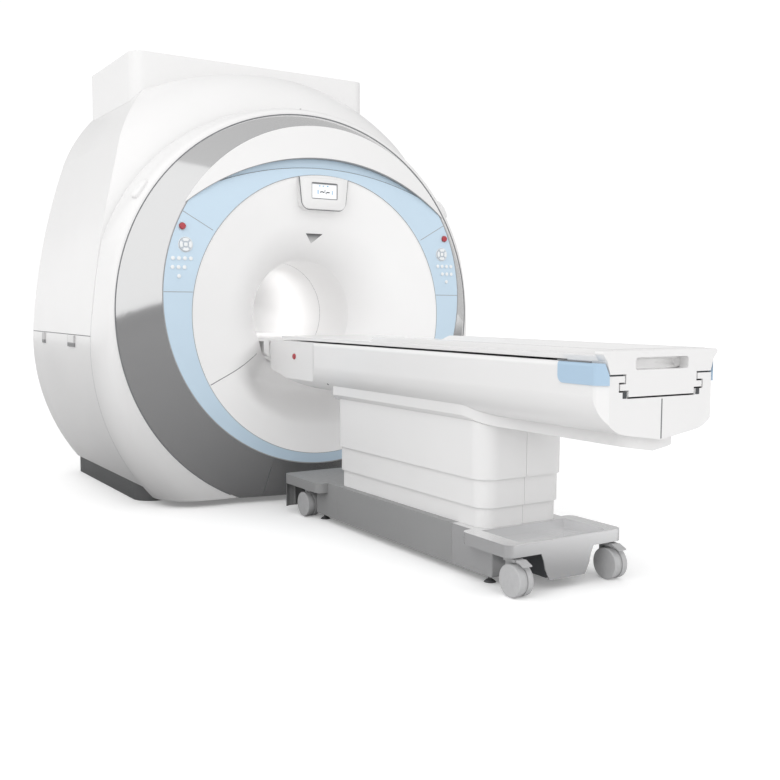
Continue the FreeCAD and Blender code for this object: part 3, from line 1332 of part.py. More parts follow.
def table_chassis():
    """The welded base: a long box between the wheels, arms for the casters, and a floor for the column."""
    beam = box(-CHASSIS_HALF, CHASSIS_HALF, REAR_WALL_END + 6, CHASSIS_FRONT, CHASSIS_LOW_Z, CHASSIS_TOP_Z)
    tail = box(-CHASSIS_REAR_HALF, CHASSIS_REAR_HALF, REAR_WING_Y + 12, REAR_WALL_END + 7, CHASSIS_LOW_Z, CHASSIS_TOP_Z)
    hollow = box(-CHASSIS_HALF + 14, CHASSIS_HALF - 14, REAR_WALL_END + 30, CHASSIS_FRONT - 20, CHASSIS_LOW_Z + CHASSIS_PLATE, CHASSIS_TOP_Z + 1)
    front_arm = wing(FRONT_WING_Y, FRONT_WING_REAR, ARM_INSET, ARM_LOW_Z, ARM_TOP_Z)
    rear_arm = wing(REAR_WING_FRONT, REAR_WING_Y, ARM_INSET, ARM_LOW_Z, ARM_TOP_Z)
    rear_post = REAR_WING_FRONT - ARM_INSET - POST_DEPTH
    tray_half = TRAY_HALF + BASE_WALL + 1
    rear_arm = rear_arm.cut(box(-tray_half, tray_half, -FAR, rear_post, 0, FAR))
    posts = []
    front_post = FRONT_WING_REAR + ARM_INSET
    for low_y in (front_post, rear_post):
        posts.append(box(-CHASSIS_HALF, CHASSIS_HALF, low_y, low_y + POST_DEPTH, CHASSIS_TOP_Z - 20, ARM_LOW_Z + 2))
    for y in (FOOT_FRONT_Y, FOOT_REAR_Y):
        lug_half = FOOT_X + FOOT_LUG
        for side in (-1, 1):
            low_x = min(side * (CHASSIS_HALF - 2), side * lug_half)
            lug = box(low_x, low_x + lug_half - CHASSIS_HALF + 2, y - FOOT_LUG, y + FOOT_LUG, FOOT_LUG_Z, FOOT_LUG_Z + 28)
            posts.append(lug)
    for y in RIB_YS:
        rib_half = BASE_HALF - BASE_WALL - SEAT
        posts.append(box(-rib_half, rib_half, y - 15, y + 15, CHASSIS_TOP_Z - 40, ARM_TOP_Z))
    frame = beam.fuse(tail).cut(hollow).fuse([front_arm, rear_arm] + posts).removeSplitter()
    for side in (-1, 1):
        frame = frame.cut(Part.makeCylinder(STEM_R + RUN, 100, vec(side * CASTER_X, REAR_SWIVEL_Y, ARM_LOW_Z - 1)))
        for y in (FOOT_FRONT_Y, FOOT_REAR_Y):
            frame = frame.cut(Part.makeCylinder(FOOT_STEM_R + RUN, 60, vec(side * FOOT_X, y, FOOT_LUG_Z - 1)))
    return frame


# ================================================================ casters, brakes and levelling feet
def wheel(side, y):
    """Twin discs on one axle."""
    centre = vec(side * CASTER_X, y, WHEEL_R)
    discs = []
    for hand in (-1, 1):
        start = centre + vec(WHEEL_GAP if hand > 0 else -WHEEL_HALF, 0, 0)
        disc = Part.makeCylinder(WHEEL_R, WHEEL_HALF - WHEEL_GAP, start, vec(1, 0, 0))
        outer_x = centre.x + hand * WHEEL_HALF
        rim = [edge for edge in disc.Edges if abs(edge.CenterOfMass.x - outer_x) < 1e-3]
        discs.append(disc.makeFillet(WHEEL_ROUND, rim))
    axle = Part.makeCylinder(AXLE_R, 2 * WHEEL_GAP + 4, centre - vec(WHEEL_GAP + 2, 0, 0), vec(1, 0, 0))
    return discs[0].fuse([discs[1], axle]).removeSplitter()


def caster_web(side, y, pivot_y, top):
    """The plate between the discs, bored for the axle, that reaches up to the hood."""
    x = side * CASTER_X
    points = [
        (pivot_y + 18, top),
        (pivot_y + 18, WHEEL_R + 30, 8),
        (y + 14, WHEEL_R - 14, 12),
        (y - 14, WHEEL_R - 14, 12),
        (y - 20, top),
    ]
    web = prism(points, "side", x - WEB_HALF, x + WEB_HALF)
    return web.cut(Part.makeCylinder(AXLE_R + RUN, 40, vec(x - 20, y, WHEEL_R), vec(1, 0, 0)))


def front_fork(side):
    """The fixed caster's bracket, screwed under the chassis arm."""
    web = caster_web(side, FRONT_WHEEL_Y, FRONT_WHEEL_Y + 10, ARM_LOW_Z - SEAT)
    x = side * CASTER_X
    plate = box(x - 30, x + 30, FRONT_WHEEL_Y - 38, FRONT_WHEEL_Y + 38, HOOD_TOP_Z, ARM_LOW_Z - SEAT)
    return web.fuse(plate).removeSplitter()


def caster_housing(side):
    """The swivelling housing: stem, hood over the wheel, and the web between the discs."""
    x = side * CASTER_X
    wheel_y = REAR_SWIVEL_Y - CASTER_TRAIL
    web = caster_web(side, wheel_y, REAR_SWIVEL_Y, HOOD_TOP_Z)
    stem = Part.makeCylinder(STEM_R, ARM_TOP_Z - HOOD_Z - 4, vec(x, REAR_SWIVEL_Y, HOOD_Z))
    hood = Part.makeCylinder(HOOD_R, HOOD_TOP_Z - HOOD_Z, vec(x, REAR_SWIVEL_Y, HOOD_Z))
    pin_y = wheel_y - PEDAL_PIN_BACK
    pin_z = (HOOD_Z + HOOD_TOP_Z) / 2
    bar = box(x - 20, x + 20, pin_y + 8, REAR_SWIVEL_Y, HOOD_Z, HOOD_TOP_Z)
    ear = box(x - 8, x + 8, pin_y - 6, pin_y + 10, HOOD_Z, HOOD_TOP_Z)
    body = web.fuse([stem, hood, bar, ear]).removeSplitter()
    return body.cut(Part.makeCylinder(PEDAL_PIN_R + RUN, 80, vec(x - 40, pin_y, pin_z), vec(1, 0, 0)))


def brake_pedal(side):
    """A foot lever hinged at the end of the hood, over the tread."""
    x = side * CASTER_X
    wheel_y = REAR_SWIVEL_Y - CASTER_TRAIL
    pin_y = wheel_y - PEDAL_PIN_BACK
    pin_z = (HOOD_Z + HOOD_TOP_Z) / 2
    pin = Part.makeCylinder(PEDAL_PIN_R, 34, vec(x - 17, pin_y, pin_z), vec(1, 0, 0))
    cheeks = [box(x + lo, x + lo + 7, pin_y - 9, pin_y + 4.5, pin_z - 5, pin_z + 6) for lo in (-16.5, 9.5)]
    blade_side = [
        (pin_y - 9, pin_z + 6),
        (pin_y - 9, pin_z + 6 - PEDAL_THICK),
        (pin_y - PEDAL_LENGTH, pin_z - 14),
        (pin_y - PEDAL_LENGTH, pin_z - 14 + PEDAL_THICK),
    ]
    blade = prism(blade_side, "side", x - PEDAL_WIDTH / 2, x + PEDAL_WIDTH / 2)
    return pin.fuse(cheeks + [blade]).removeSplitter()


def levelling_feet():
    """Four screwed feet in lugs on the chassis; they are set together."""
    feet = []
    for side in (-1, 1):
        for y in (FOOT_FRONT_Y, FOOT_REAR_Y):
            pad = Part.makeCone(FOOT_PAD_R, FOOT_PAD_R * 0.6, FOOT_PAD, vec(side * FOOT_X, y, 0))
            stem = Part.makeCylinder(FOOT_STEM_R, FOOT_STEM_TOP_Z - FOOT_PAD + 1, vec(side * FOOT_X, y, FOOT_PAD - 1))
            feet.append(pad.fuse(stem).removeSplitter())
    return Part.makeCompound(feet)


# ================================================================ the whole scanner
def build():
    os.makedirs("parts", exist_ok=True)
    save("magnet_vessel", magnet_vessel())
    save("gradient_coil", gradient_coil())
    save("body_coil", body_coil())
    save("bore_liner", bore_liner())
    save("patient_bridge", patient_bridge())
    save("plinth", plinth())
    upper, lower_left, lower_right = split_covers()
    save("upper_cover", upper)
    save("lower_cover_left", lower_left)
    save("lower_cover_right", lower_right)
    save("rear_cover", rear_cover())
    save("turret_cover", turret_cover())
    save("cover_latches", cover_latches())
    silver, dock = silver_pieces()
    save("silver_ring", silver)
    save("docking_panel", dock)
    save("front_bezel", front_bezel())
    save("bezel_knobs", bezel_knobs())
    save("ring_top", ring_top())
    save("ring_bottom", ring_bottom())
    save("visor", visor())
    upper_funnel, lower_funnel = funnel_halves()
    save("upper_funnel", upper_funnel)
    save("lower_funnel", lower_funnel)
    save("display_pod", display_pod())
    save("display_screen", display_screen())
    save("laser_window", laser_window())
    save("tabletop", tabletop())
    cover_left, cover_right = table_covers()
    save("table_cover_left", cover_left)
    save("table_cover_right", cover_right)
    save("table_frame", table_frame())
    save("belly_pan", belly_pan())
    save("upper_skirt", upper_skirt())
    save("middle_skirt", middle_skirt())
    save("lower_skirt", lower_skirt())
    save("lift_outer", lift_outer())
    save("lift_inner", lift_inner())
    save("table_chassis", table_chassis())
    save("base_front_cover", base_front_cover())
    save("base_rear_cover", base_rear_cover())
    for side, hand in ((-1, "left"), (1, "right")):
        save("control_panel_" + hand, control_panel(side))
        save("stop_button_" + hand, stop_button(side))
        save("direction_pad_" + hand, direction_pad(side))
        save("bumper_" + hand, bumper(side))
        save("nose_button_" + hand, nose_button(side))
        save("base_side_cover_" + hand, base_side_cover(side))
        save("front_fork_" + hand, front_fork(side))
        save("caster_housing_" + hand, caster_housing(side))
        save("brake_pedal_" + hand, brake_pedal(side))
        save("front_wheel_" + hand, wheel(side, FRONT_WHEEL_Y))
        save("rear_wheel_" + hand, wheel(side, REAR_SWIVEL_Y - CASTER_TRAIL))
    save("levelling_feet", levelling_feet())


build()
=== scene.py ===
"""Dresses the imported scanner: finishes for every cover, small moulded details, studio and camera.

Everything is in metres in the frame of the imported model: X to the right seen from the front,
Y from the patient table into the tunnel, Z up, floor at 0.
"""

import json
import math

import bpy
import numpy as np
from mathutils import Matrix, Vector
from mathutils.bvhtree import BVHTree


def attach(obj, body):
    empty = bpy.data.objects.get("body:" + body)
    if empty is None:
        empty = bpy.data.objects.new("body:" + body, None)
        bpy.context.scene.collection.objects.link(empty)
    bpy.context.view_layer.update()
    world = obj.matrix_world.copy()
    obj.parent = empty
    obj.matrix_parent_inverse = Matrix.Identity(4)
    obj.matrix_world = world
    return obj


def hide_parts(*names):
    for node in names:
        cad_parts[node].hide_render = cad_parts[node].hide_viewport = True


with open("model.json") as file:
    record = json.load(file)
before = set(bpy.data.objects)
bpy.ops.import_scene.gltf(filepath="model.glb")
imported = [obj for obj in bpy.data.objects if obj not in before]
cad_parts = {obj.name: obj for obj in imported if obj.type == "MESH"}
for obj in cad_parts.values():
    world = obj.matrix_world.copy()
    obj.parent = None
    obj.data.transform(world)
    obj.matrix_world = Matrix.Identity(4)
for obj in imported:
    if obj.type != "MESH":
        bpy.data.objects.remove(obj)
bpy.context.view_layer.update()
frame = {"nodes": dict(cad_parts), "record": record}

bl_info = {
    "name": "Scanner dressing",
    "version": (1, 0, 0),
    "blender": (4, 5, 0),
    "location": "View3D > Sidebar > Scanner",
    "description": "Finishes, moulded details and studio for the tunnel scanner and its table",
    "category": "Object",
}

SIDES = (("left", -1.0), ("right", 1.0))
ACROSS, FRONT, UP = np.array([1.0, 0.0, 0.0]), np.array([0.0, -1.0, 0.0]), np.array([0.0, 0.0, 1.0])
INWARD = -FRONT
LIFT = 0.0001                            # trim stands a few of these off the surface it lies on

# Places that the CAD model gives, in metres.
AXIS_Z = 1.025
RING_Y = -1.045
CONE_RIM_R, CONE_RIM_Y = 1.078, -0.868
CONE_RIM_ARC = (-64, 244)                # the arc on which bezel and cone meet, in degrees
BORE_R, BORE_SEAM_Y = 0.300, -0.446
DOCK_HALF = 0.295
SIDE_X = 1.135
SIDE_SEAM_Z = AXIS_Z - 0.118
COVER_Y = (-0.620, 0.640)
VISOR_TIP = (AXIS_Z + 0.088, 0.905)      # centre height and radius of the visor's outer edge
VISOR_LOW = (AXIS_Z - 0.424, 1.247)      # and of its lower edge
RECESS_LOW = (AXIS_Z - 0.965, 1.737)     # lower edge of the recess below the visor
TABLE_TOP_Z = AXIS_Z - 0.137
NOSE_HALF, BODY_HALF = 0.252, 0.283      # half widths of the table's nose and of its body
NOSE_STEP = (-1.400, -1.460)             # where the nose widens into the body
NOSE_TIP_Y, NOSE_BEND_R = -1.2495, 0.060
CORE_X = (0.240, -0.0064)                # middle of a caster, and the start of its core from there
WHEEL_R, FRONT_WHEEL_Y, REAR_WHEEL_Y = 0.0625, -1.327, -2.974

# Controls.
STOP_X, STOP_Z = 0.792, AXIS_Z + 0.434
PAD_X, PAD_Z, PAD_PROUD = 0.776, AXIS_Z + 0.344, 0.007
PAD_KEY_REACH = 0.0245                   # from the pad's centre to the middle of a curved key
PAD_KEY_HALF = (math.radians(33), 0.0075, 0.0016)
PAD_CENTRE_HALF = (0.0088, 0.0088, 0.0016)
COLLARS = (                              # place, inner and outer radius, height, steps, finish
    ("pad_collar", (PAD_X, PAD_Z), (0.0350, 0.0385, 0.0030), 72, "key_white"),
    ("stop_collar", (STOP_X, STOP_Z), (0.0168, 0.0215, 0.0035), 56, "key_grey"),
)
KEY_X, KEY_TOP_Z = 0.796, AXIS_Z + 0.276
KEY_PITCH, KEY_ROW = 0.031, 0.044
KEY_ROWS = ((4, 0.0), (3, 0.018), (1, 0.016))
KEY_DOME, KEY_SKIRT = 0.0012, 0.0042

# Display.
POD_Y = -1.058
POD_HALVES, POD_RISES = (0.146, 0.128), (0.726, 0.556)   # at the pod's top and foot
POD_LEAN = math.atan2(POD_HALVES[0] - POD_HALVES[1], POD_RISES[0] - POD_RISES[1])
POD_CORNER = 0.042
SCREEN_Y = POD_Y + 0.002
SCREEN_Z = AXIS_Z + 0.654
SCREEN_HALF = (0.0755, 0.040)
MARK_PROUD = 0.0004
MARKS = (                                # x, rise, half width and height, softness of the corners
    (-0.028, 0.026, (0.0048, 0.0026), 0.5),
    (-0.006, 0.026, (0.0048, 0.0026), 0.5),
    (0.020, 0.026, (0.0048, 0.0026), 0.5),
    (-0.038, -0.006, (0.0026, 0.011), 0.4),
    (0.048, -0.006, (0.0020, 0.011), 0.4),
)
PULSE = ((0.004, 0.0022, 0.013), (0.010, 0.0026, -0.008), (-0.014, 0.004, 0.003))   # x, width, height
PULSE_SPAN, PULSE_DROP = (-0.026, 0.032), 0.006
# The dark bead round the pod: painted shade of the pod's side face.
POD_SHADE_TOP_DROP, POD_SHADE_DEPTH, POD_SHADE_PROUD, POD_SHADE_HALF = 0.006, 0.0075, 0.0015, 0.003

# Funnel.
RING_INNER_R, RING_RISE = 0.7447, -0.008         # the blue ring's inner edge, its centre above the axis
FUNNEL_EDGE_Y, FUNNEL_BEND_R, FUNNEL_DISH_DEG, FUNNEL_WALL = -0.790, 0.520, 17.0, 0.014
HOLLOW_R, HOLLOW_LOW_R, HOLLOW_DEG, HOLLOW_END_Y = 0.590, 0.455, 66.0, -0.650
HOLLOW_BANK = (24.0, 62.0)               # the hollow's banks, in degrees below the horizontal
BRIDGE_DROP, APRON_Y = 0.1535, -0.668    # the apron closes the tunnel's foot under the bridge's deck
LASER_HALF, LASER_TOP, LASER_POINT = 0.051, AXIS_Z + 0.436, AXIS_Z + 0.386

# Ring lines: radius, centre above the axis, half width, and first and last angle in degrees.
RING_EDGES = ((0.7452, -0.008, 0.0016, -180, 180), (0.8958, 0.088, 0.0030, -250, 46))
PANEL_SEAMS = ((0.110, 0.0), (0.415, 0.559))     # height above the axis at x = 0.620, and slope
PANEL_SEAM_X = 0.620
FILLER_R, FILLER_Y, FILLER_HALF = 1.100, -0.629, (0.010, 0.0066)

# The bezel's knobs and top cap.
KNOB_TURN, KNOB_R, KNOB_Y = math.radians(34), 1.1150, -0.8188
KNOB_LEAN = (0.954, 0.298)               # parts of a knob's up direction that point outwards and forwards
KNOB_HALF, KNOB_POWER = (0.058, 0.030, 0.024), 0.62
TOP_CAP_START = (-0.010, -0.800, 2.4)

# Table.
NOSE_EDGE = (-2 * LIFT, -0.009, -0.0365)   # a cheek's outer face, inner face and foot
PAN_SCREW_Y, PAN_SCREW_Z = -1.548, 0.690
BEHIND_Y = -3.6
TAIL_JOINT_Z = (AXIS_Z - 0.262, AXIS_Z - 0.398)
# Dark blocks in the channel's lower corners: painted shadow of the openings there.
CORNER_SHADOW_X, CORNER_SHADOW_Z, CORNER_SHADOW_HALF = 0.176, AXIS_Z - 0.247, (0.0095, 0.0105, 0.00084)
SHADOW_X, SHADOW_Y, SHADOW_RISE = 0.2815, (-3.222, -3.385), 0.0034
SLOT_HALF, SLOT_Y, SLOT_Z, SLOT_DEPTH, SLOT_WALL = (0.1278, 0.0208), -3.3925, AXIS_Z - 0.141, 0.030, 0.0015

# Studio.
FLOOR_HALF, FLOOR_STEPS = 30.0, 41
LAMPS = (                                # place, target, side and the setting that holds the power
    ("key_softbox", (-4.6, -4.2, 4.2), (0.0, -1.2, 0.9), 3.2, "key_light"),
    ("front_softbox", (0.6, -7.0, 3.6), (0.0, -1.0, 1.0), 4.0, "top_light"),
    ("tunnel_light", (0.0, -0.05, AXIS_Z + 0.26), (0.0, -0.05, AXIS_Z), 0.34, "tunnel_light"),
)
SEEN_WHITE = 1.3                         # strength of the ground that the camera sees
TENT_WAY = (-0.64, -0.74, 0.20)          # towards the tent's bright side
CARD_WAY = (0.808, 0.303, 0.505)         # towards the dark cards, with their tones by the dot product
CARD_TONES = ((0.0, 1.15), (0.20, 1.12), (0.215, 0.66), (1.0, 0.55))
SHADE_SPOT, SHADE_REACH = (-0.7, -1.2, 0.0), (0.4, 1.9)     # the floor under the table sends little light
MIRROR_WAY, MIRROR_REACH = (0.6, -0.8, 0.0), (2.6, 3.6)     # and near the magnet looks dark in the paint

# Camera: yaw, pitch and roll in radians, place, and focal length in pixels of a 780-pixel picture.
CAMERA_TURN = (0.56624, 0.08522, 0.0050)
CAMERA_PLACE = (-2.5494, -5.7293, 1.070)
FOCAL_PIXELS, FRAME_PIXELS, SENSOR_MM = 982.14, 780, 36.0


# ------------------------------------------------------------------ surfaces
def at(x, y, z):
    """Places from their coordinates, each an array or one number for all."""
    return np.stack(np.broadcast_arrays(x, y, z), axis=-1)


def unit(vectors):
    """The vectors v / |v|."""
    return vectors / np.linalg.norm(vectors, axis=-1, keepdims=True)


def grid_piece(name, points, wrap_u=False, wrap_v=False, cap_u=False):
    """Makes a mesh from points[i, j], a grid of places P(u_i, v_j).

    Neighbouring places make a four-sided face. A wrapped direction joins its last row to its first,
    and cap_u closes the two end rows with one many-sided face each. The signed volume, the sum of
    P0 . (P1 x P2) / 6 over the faces' triangles, says whether the faces point outwards."""
    rows, columns = points.shape[:2]
    index = np.arange(rows * columns).reshape(rows, columns)
    across = index[np.r_[0:rows, 0]] if wrap_u else index
    both = across[:, np.r_[0:columns, 0]] if wrap_v else across
    corners = [both[:-1, :-1], both[1:, :-1], both[1:, 1:], both[:-1, 1:]]
    quads = np.stack(corners, axis=-1).reshape(-1, 4)
    places = points.reshape(-1, 3)
    a, b, c, d = (places[quads[:, k]] for k in range(4))
    volume = np.einsum("ij,ij->", a, np.cross(b, c)) + np.einsum("ij,ij->", a, np.cross(c, d))
    faces = quads.tolist()
    if cap_u:
        for end in (index[0].tolist(), index[-1][::-1].tolist()):
            rim = places[end]
            volume += np.einsum("j,ij->", rim[0], np.cross(rim[1:-1], rim[2:]))
            faces.append(end)
    if volume < 0:
        faces = [face[::-1] for face in faces]
    mesh = bpy.data.meshes.new(name)
    mesh.from_pydata(places.tolist(), [], faces)
    piece = bpy.data.objects.new(name, mesh)
    bpy.context.scene.collection.objects.link(piece)
    weld = piece.modifiers.new("weld", "WELD")
    weld.merge_threshold = 1e-6
    mesh.shade_smooth()
    mesh.set_sharp_from_angle(angle=math.radians(35))
    return piece


def axes_of(direction):
    """Two unit vectors square to a direction and to each other, and the direction at length 1."""
    along = unit(np.asarray(direction, float))
    first = unit(np.cross(UP if abs(along[2]) < 0.9 else ACROSS, along))
    return first, np.cross(along, first), along


def turned_piece(name, profile, centre, direction, steps):
    """A turned piece: P(t, r, h) = centre + r (cos t e1 + sin t e2) + h d for the profile's pairs (r, h).

    The profile starts and ends on the axis, or is a closed loop round a ring."""
    first, second, along = axes_of(direction)
    turn = np.linspace(0, 2 * np.pi, steps, endpoint=False)
    radial = np.cos(turn)[:, None] * first + np.sin(turn)[:, None] * second
    r, h = np.asarray(profile, float).T
    points = np.asarray(centre) + radial[:, None, :] * r[None, :, None] + h[None, :, None] * along
    return grid_piece(name, points, wrap_u=True, wrap_v=r.min() > 1e-6)


def dome_profile(radius, height, skirt):
    """A cap: up the skirt to height s, then r = R cos a, h = s + H sin a, and back flat underneath."""
    turns = np.linspace(0, np.pi / 2, 9)
    rise = [(radius * math.cos(a), skirt + height * math.sin(a)) for a in turns]
    rise[-1] = (0.0, skirt + height)
    return [(0.0, 0.0), (radius * 0.92, 0.0), (radius, skirt * 0.25)] + rise


def ring_profile(inner, outer, height, rounding=0.35):
    """A flat ring with a rounded top: a closed loop of (r, h)."""
    e = (outer - inner) * rounding
    shoulder, brow = height * 0.55, height * 0.9
    return [(inner, 0.0), (outer, 0.0), (outer, shoulder), (outer - e * 0.4, brow), (outer - e, height),
            (inner + e, height), (inner + e * 0.4, brow), (inner, shoulder)]


def bead_piece(name, path, outward, sideways, section, closed=False):
    """Carries a closed section of pairs (a, b) along a path: P = path + a outward + b sideways.

    Each direction is one vector for the whole path, or one for each of its places."""
    a, b = np.asarray(section, float).T[:, None, :, None]
    outward, sideways = (np.broadcast_to(way, path.shape)[:, None, :] for way in (outward, sideways))
    points = path[:, None, :] + a * outward + b * sideways
    return grid_piece(name, points, wrap_u=closed, wrap_v=True, cap_u=not closed)


def round_section(half_a, half_b, steps):
    """An ellipse: (A cos t, B sin t)."""
    t = np.linspace(0, 2 * np.pi, steps, endpoint=False)
    return np.stack([half_a * np.cos(t), half_b * np.sin(t)], axis=1)


def pillow_points(half, power=0.28, rows=17, columns=28):
    """A block with soft edges: x = A c(v) c(u), y = B c(v) s(u), z = C s(v), where c and s are
    the cosine and sine raised to a small power with their sign kept."""
    u = np.linspace(-np.pi, np.pi, columns, endpoint=False)[:, None]
    v = np.linspace(-np.pi / 2, np.pi / 2, rows)[None, :]

    def soft(value):
        return np.sign(value) * np.abs(value) ** power

    cv = soft(np.where(np.abs(np.cos(v)) < 1e-9, 0.0, np.cos(v)))
    return at(half[0] * cv * soft(np.cos(u)), half[1] * cv * soft(np.sin(u)), half[2] * soft(np.sin(v)))


def front_pillow(name, half, centre, *shape):
    """A pillow that faces the front: half its width, half its height and its rise, round a centre."""
    block = pillow_points(half, *shape)
    x, y, z = centre
    return grid_piece(name, at(block[..., 0] + x, y - block[..., 2], block[..., 1] + z), wrap_u=True)


def facing_ways(angles):
    """Unit vectors (cos a, 0, sin a) in the plane that faces the front."""
    return at(np.cos(angles), 0.0, np.sin(angles))


def arc_path(centre_z, radius, start, stop, steps, y):
    """Places on a circle that faces the front, with their outward directions."""
    out = facing_ways(np.radians(np.linspace(start, stop, steps)))
    return np.array([0.0, y, centre_z]) + radius * out, out


def rounded_path(half_x, half_z, corner, centre):
    """A rectangle with round corners that faces the front, with its outward directions."""
    quarter = np.linspace(0, np.pi / 2, 8)
    out, places = [], []
    for k, (sx, sz) in enumerate(((1, 1), (-1, 1), (-1, -1), (1, -1))):
        out.append(facing_ways(quarter + k * np.pi / 2))
        places.append(np.array([sx * (half_x - corner), 0.0, sz * (half_z - corner)]) + corner * out[-1])
    return np.concatenate(places) + np.asarray(centre), np.concatenate(out)


def laid_path(names, starts, heading):
    """Where straight lines from the starts along one heading first meet the named parts, with the
    parts' outward directions there. Starts that meet nothing are left out."""
    trees = []
    for name in names:
        mesh = (frame["nodes"].get(name) or bpy.data.objects[name]).data
        corners, faces = [v.co for v in mesh.vertices], [p.vertices for p in mesh.polygons]
        trees.append(BVHTree.FromPolygons(corners, faces))
    heading = Vector(heading)
    places, normals = [], []
    for start in starts:
        hits = [tree.ray_cast(Vector(start), heading, 3.0) for tree in trees]
        hits = sorted((hit for hit in hits if hit[0] is not None), key=lambda hit: hit[3])
        if hits:
            place, normal = hits[0][:2]
            places.append(place)
            normals.append(normal if normal.dot(heading) < 0 else -normal)
    return np.array(places), np.array(normals)


def laid_strip(name, names, starts, heading, half_width, proud):
    """A thin bead laid on the named parts along the places where the lines from the starts meet them."""
    path, normals = laid_path(names, starts, heading)
    sideways = unit(np.cross(np.gradient(path, axis=0), normals))
    return bead_piece(name, path, normals, sideways, round_section(proud, half_width, 8))


def laid_cap(name, part, start, heading, profile):
    """A small domed cap where the line from the start meets the part."""
    spot, away = laid_path((part,), [start], heading)
    return turned_piece(name, profile, spot[0], away[0], 24)


def joined(name, pieces):
    """Several shapes as one mesh."""
    bpy.ops.object.select_all(action="DESELECT")
    for piece in pieces:
        bpy.context.view_layer.objects.active = piece
        piece.select_set(True)
        bpy.ops.object.modifier_apply(modifier="weld")
        piece.select_set(False)
    for piece in pieces:
        piece.select_set(True)
    bpy.context.view_layer.objects.active = pieces[0]
    bpy.ops.object.join()
    result = bpy.context.view_layer.objects.active
    result.name = name
    result.data.name = name
    result.select_set(False)
    return result


def settle(piece, body, slot, finish=None):
    """The piece rides on its body and takes its slot's finish, or the one that is named."""
    piece.data.materials.clear()
    piece.data.materials.append(FINISHES[finish or slot])
    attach(piece, body)


def trim(piece, finish="seam_grey", body="gantry"):
    """Settles a gasket, a joint line, another piece of dark trim, or a dark piece of painted shade."""
    settle(piece, body, "frame_dark", finish)


# ------------------------------------------------------------------ finishes
class Wiring:
    """A node tree that is built step by step."""

    def __init__(self, tree):
        self.tree = tree

    def feed(self, socket, value):
        """Links the socket to an output, or sets its own value."""
        if isinstance(value, bpy.types.NodeSocket):
            self.tree.links.new(value, socket)
        else:
            socket.default_value = value

    def node(self, kind, inputs=None, **settings):
        made = self.tree.nodes.new("ShaderNode" + kind)
        for key, value in settings.items():
            setattr(made, key, value)
        for key, value in (inputs or {}).items():
            self.feed(made.inputs[key], value)
        return made

    def ranged(self, value, low, high, source=(0.3, 0.7)):
        made = self.node("MapRange", {"Value": value, "From Min": source[0], "From Max": source[1],
                                      "To Min": low, "To Max": high})
        return made.outputs["Result"]

    def ramp(self, value, *stops):
        """A colour ramp through pairs of position and colour, from the lowest up."""
        made = self.node("ValToRGB", {"Fac": value})
        elements = made.color_ramp.elements
        for position, _ in stops[1:-1]:
            elements.new(position)
        for element, (position, colour) in zip(elements, stops):
            element.position = position
            element.color = (*colour, 1)
        return made.outputs["Color"]

    def dot(self, vector, direction):
        made = self.node("VectorMath", {0: vector, 1: direction}, operation="DOT_PRODUCT")
        return made.outputs["Value"]

    def choice(self, factor, no, yes):
        """The first shader where the factor is 0 and the second where it is 1."""
        return self.node("MixShader", {"Fac": factor, 1: no, 2: yes}).outputs["Shader"]


class Finish(Wiring):
    """Builds one node material; every pattern is read from Object coordinates."""

    def __init__(self, name):
        self.material = bpy.data.materials.new(name)
        self.material.use_nodes = True
        super().__init__(self.material.node_tree)
        self.shader = self.tree.nodes["Principled BSDF"]
        self.coords = self.node("TexCoord").outputs["Object"]

    def set(self, **values):
        """Sets the shader's own sockets, to plain numbers or to outputs, and gives the material."""
        for key, value in values.items():
            self.feed(self.shader.inputs[key.replace("_", " ")], value)
        return self.material

    def noise(self, scale, detail=3.0, stretch=(1, 1, 1), roughness=0.5):
        mapping = self.node("Mapping", {"Scale": stretch, "Vector": self.coords})
        made = self.node("TexNoise", {"Scale": scale, "Detail": detail, "Roughness": roughness,
                                      "Vector": mapping.outputs["Vector"]})
        return made.outputs["Fac"]

    def mixed(self, value, first, second, low=0.35, high=0.65):
        return self.ramp(value, (low, first), (high, second))

    def bump(self, height, depth, strength):
        made = self.node("Bump", {"Distance": depth, "Strength": strength, "Height": height})
        self.feed(self.shader.inputs["Normal"], made.outputs["Normal"])


def scaled(colour, factor):
    """The colour times a factor."""
    return tuple(c * factor for c in colour)


def grey(tone):
    """A grey of one tone."""
    return (tone, tone, tone)


def lacquer(name, colour, tint=0.985, rough=(0.30, 0.38), coat=0.25, grain=420.0):
    """Sprayed lacquer: a faint cloud in the colour, an orange-peel ripple and uneven gloss."""
    made = Finish(name)
    made.bump(made.noise(grain, 2.0), 0.0002, 0.12)
    return made.set(Base_Color=made.mixed(made.noise(2.2, 4.0), scaled(colour, tint), colour),
                    Roughness=made.ranged(made.noise(2.6), *rough),
                    Coat_Weight=coat, Coat_Roughness=0.12, Specular_IOR_Level=0.45)


def powder(name, colour, tint=0.96, rough=(0.45, 0.58), grain=900.0, metallic=0.0):
    """Powder coat or moulded grain: fine pimples, slight specks and a matt sheen."""
    made = Finish(name)
    specks = made.noise(grain, 4.0, roughness=0.7)
    cloud = made.ranged(made.noise(3.5), 0.15, 0.40)
    blend = made.node("Math", {0: specks, 1: 0.45, 2: cloud}, operation="MULTIPLY_ADD").outputs["Value"]
    made.bump(specks, 0.0004, 0.25)
    return made.set(Base_Color=made.mixed(blend, scaled(colour, tint), colour, 0.32, 0.68),
                    Roughness=made.ranged(made.noise(60.0, 4.0), *rough),
                    Metallic=metallic, Specular_IOR_Level=0.4)


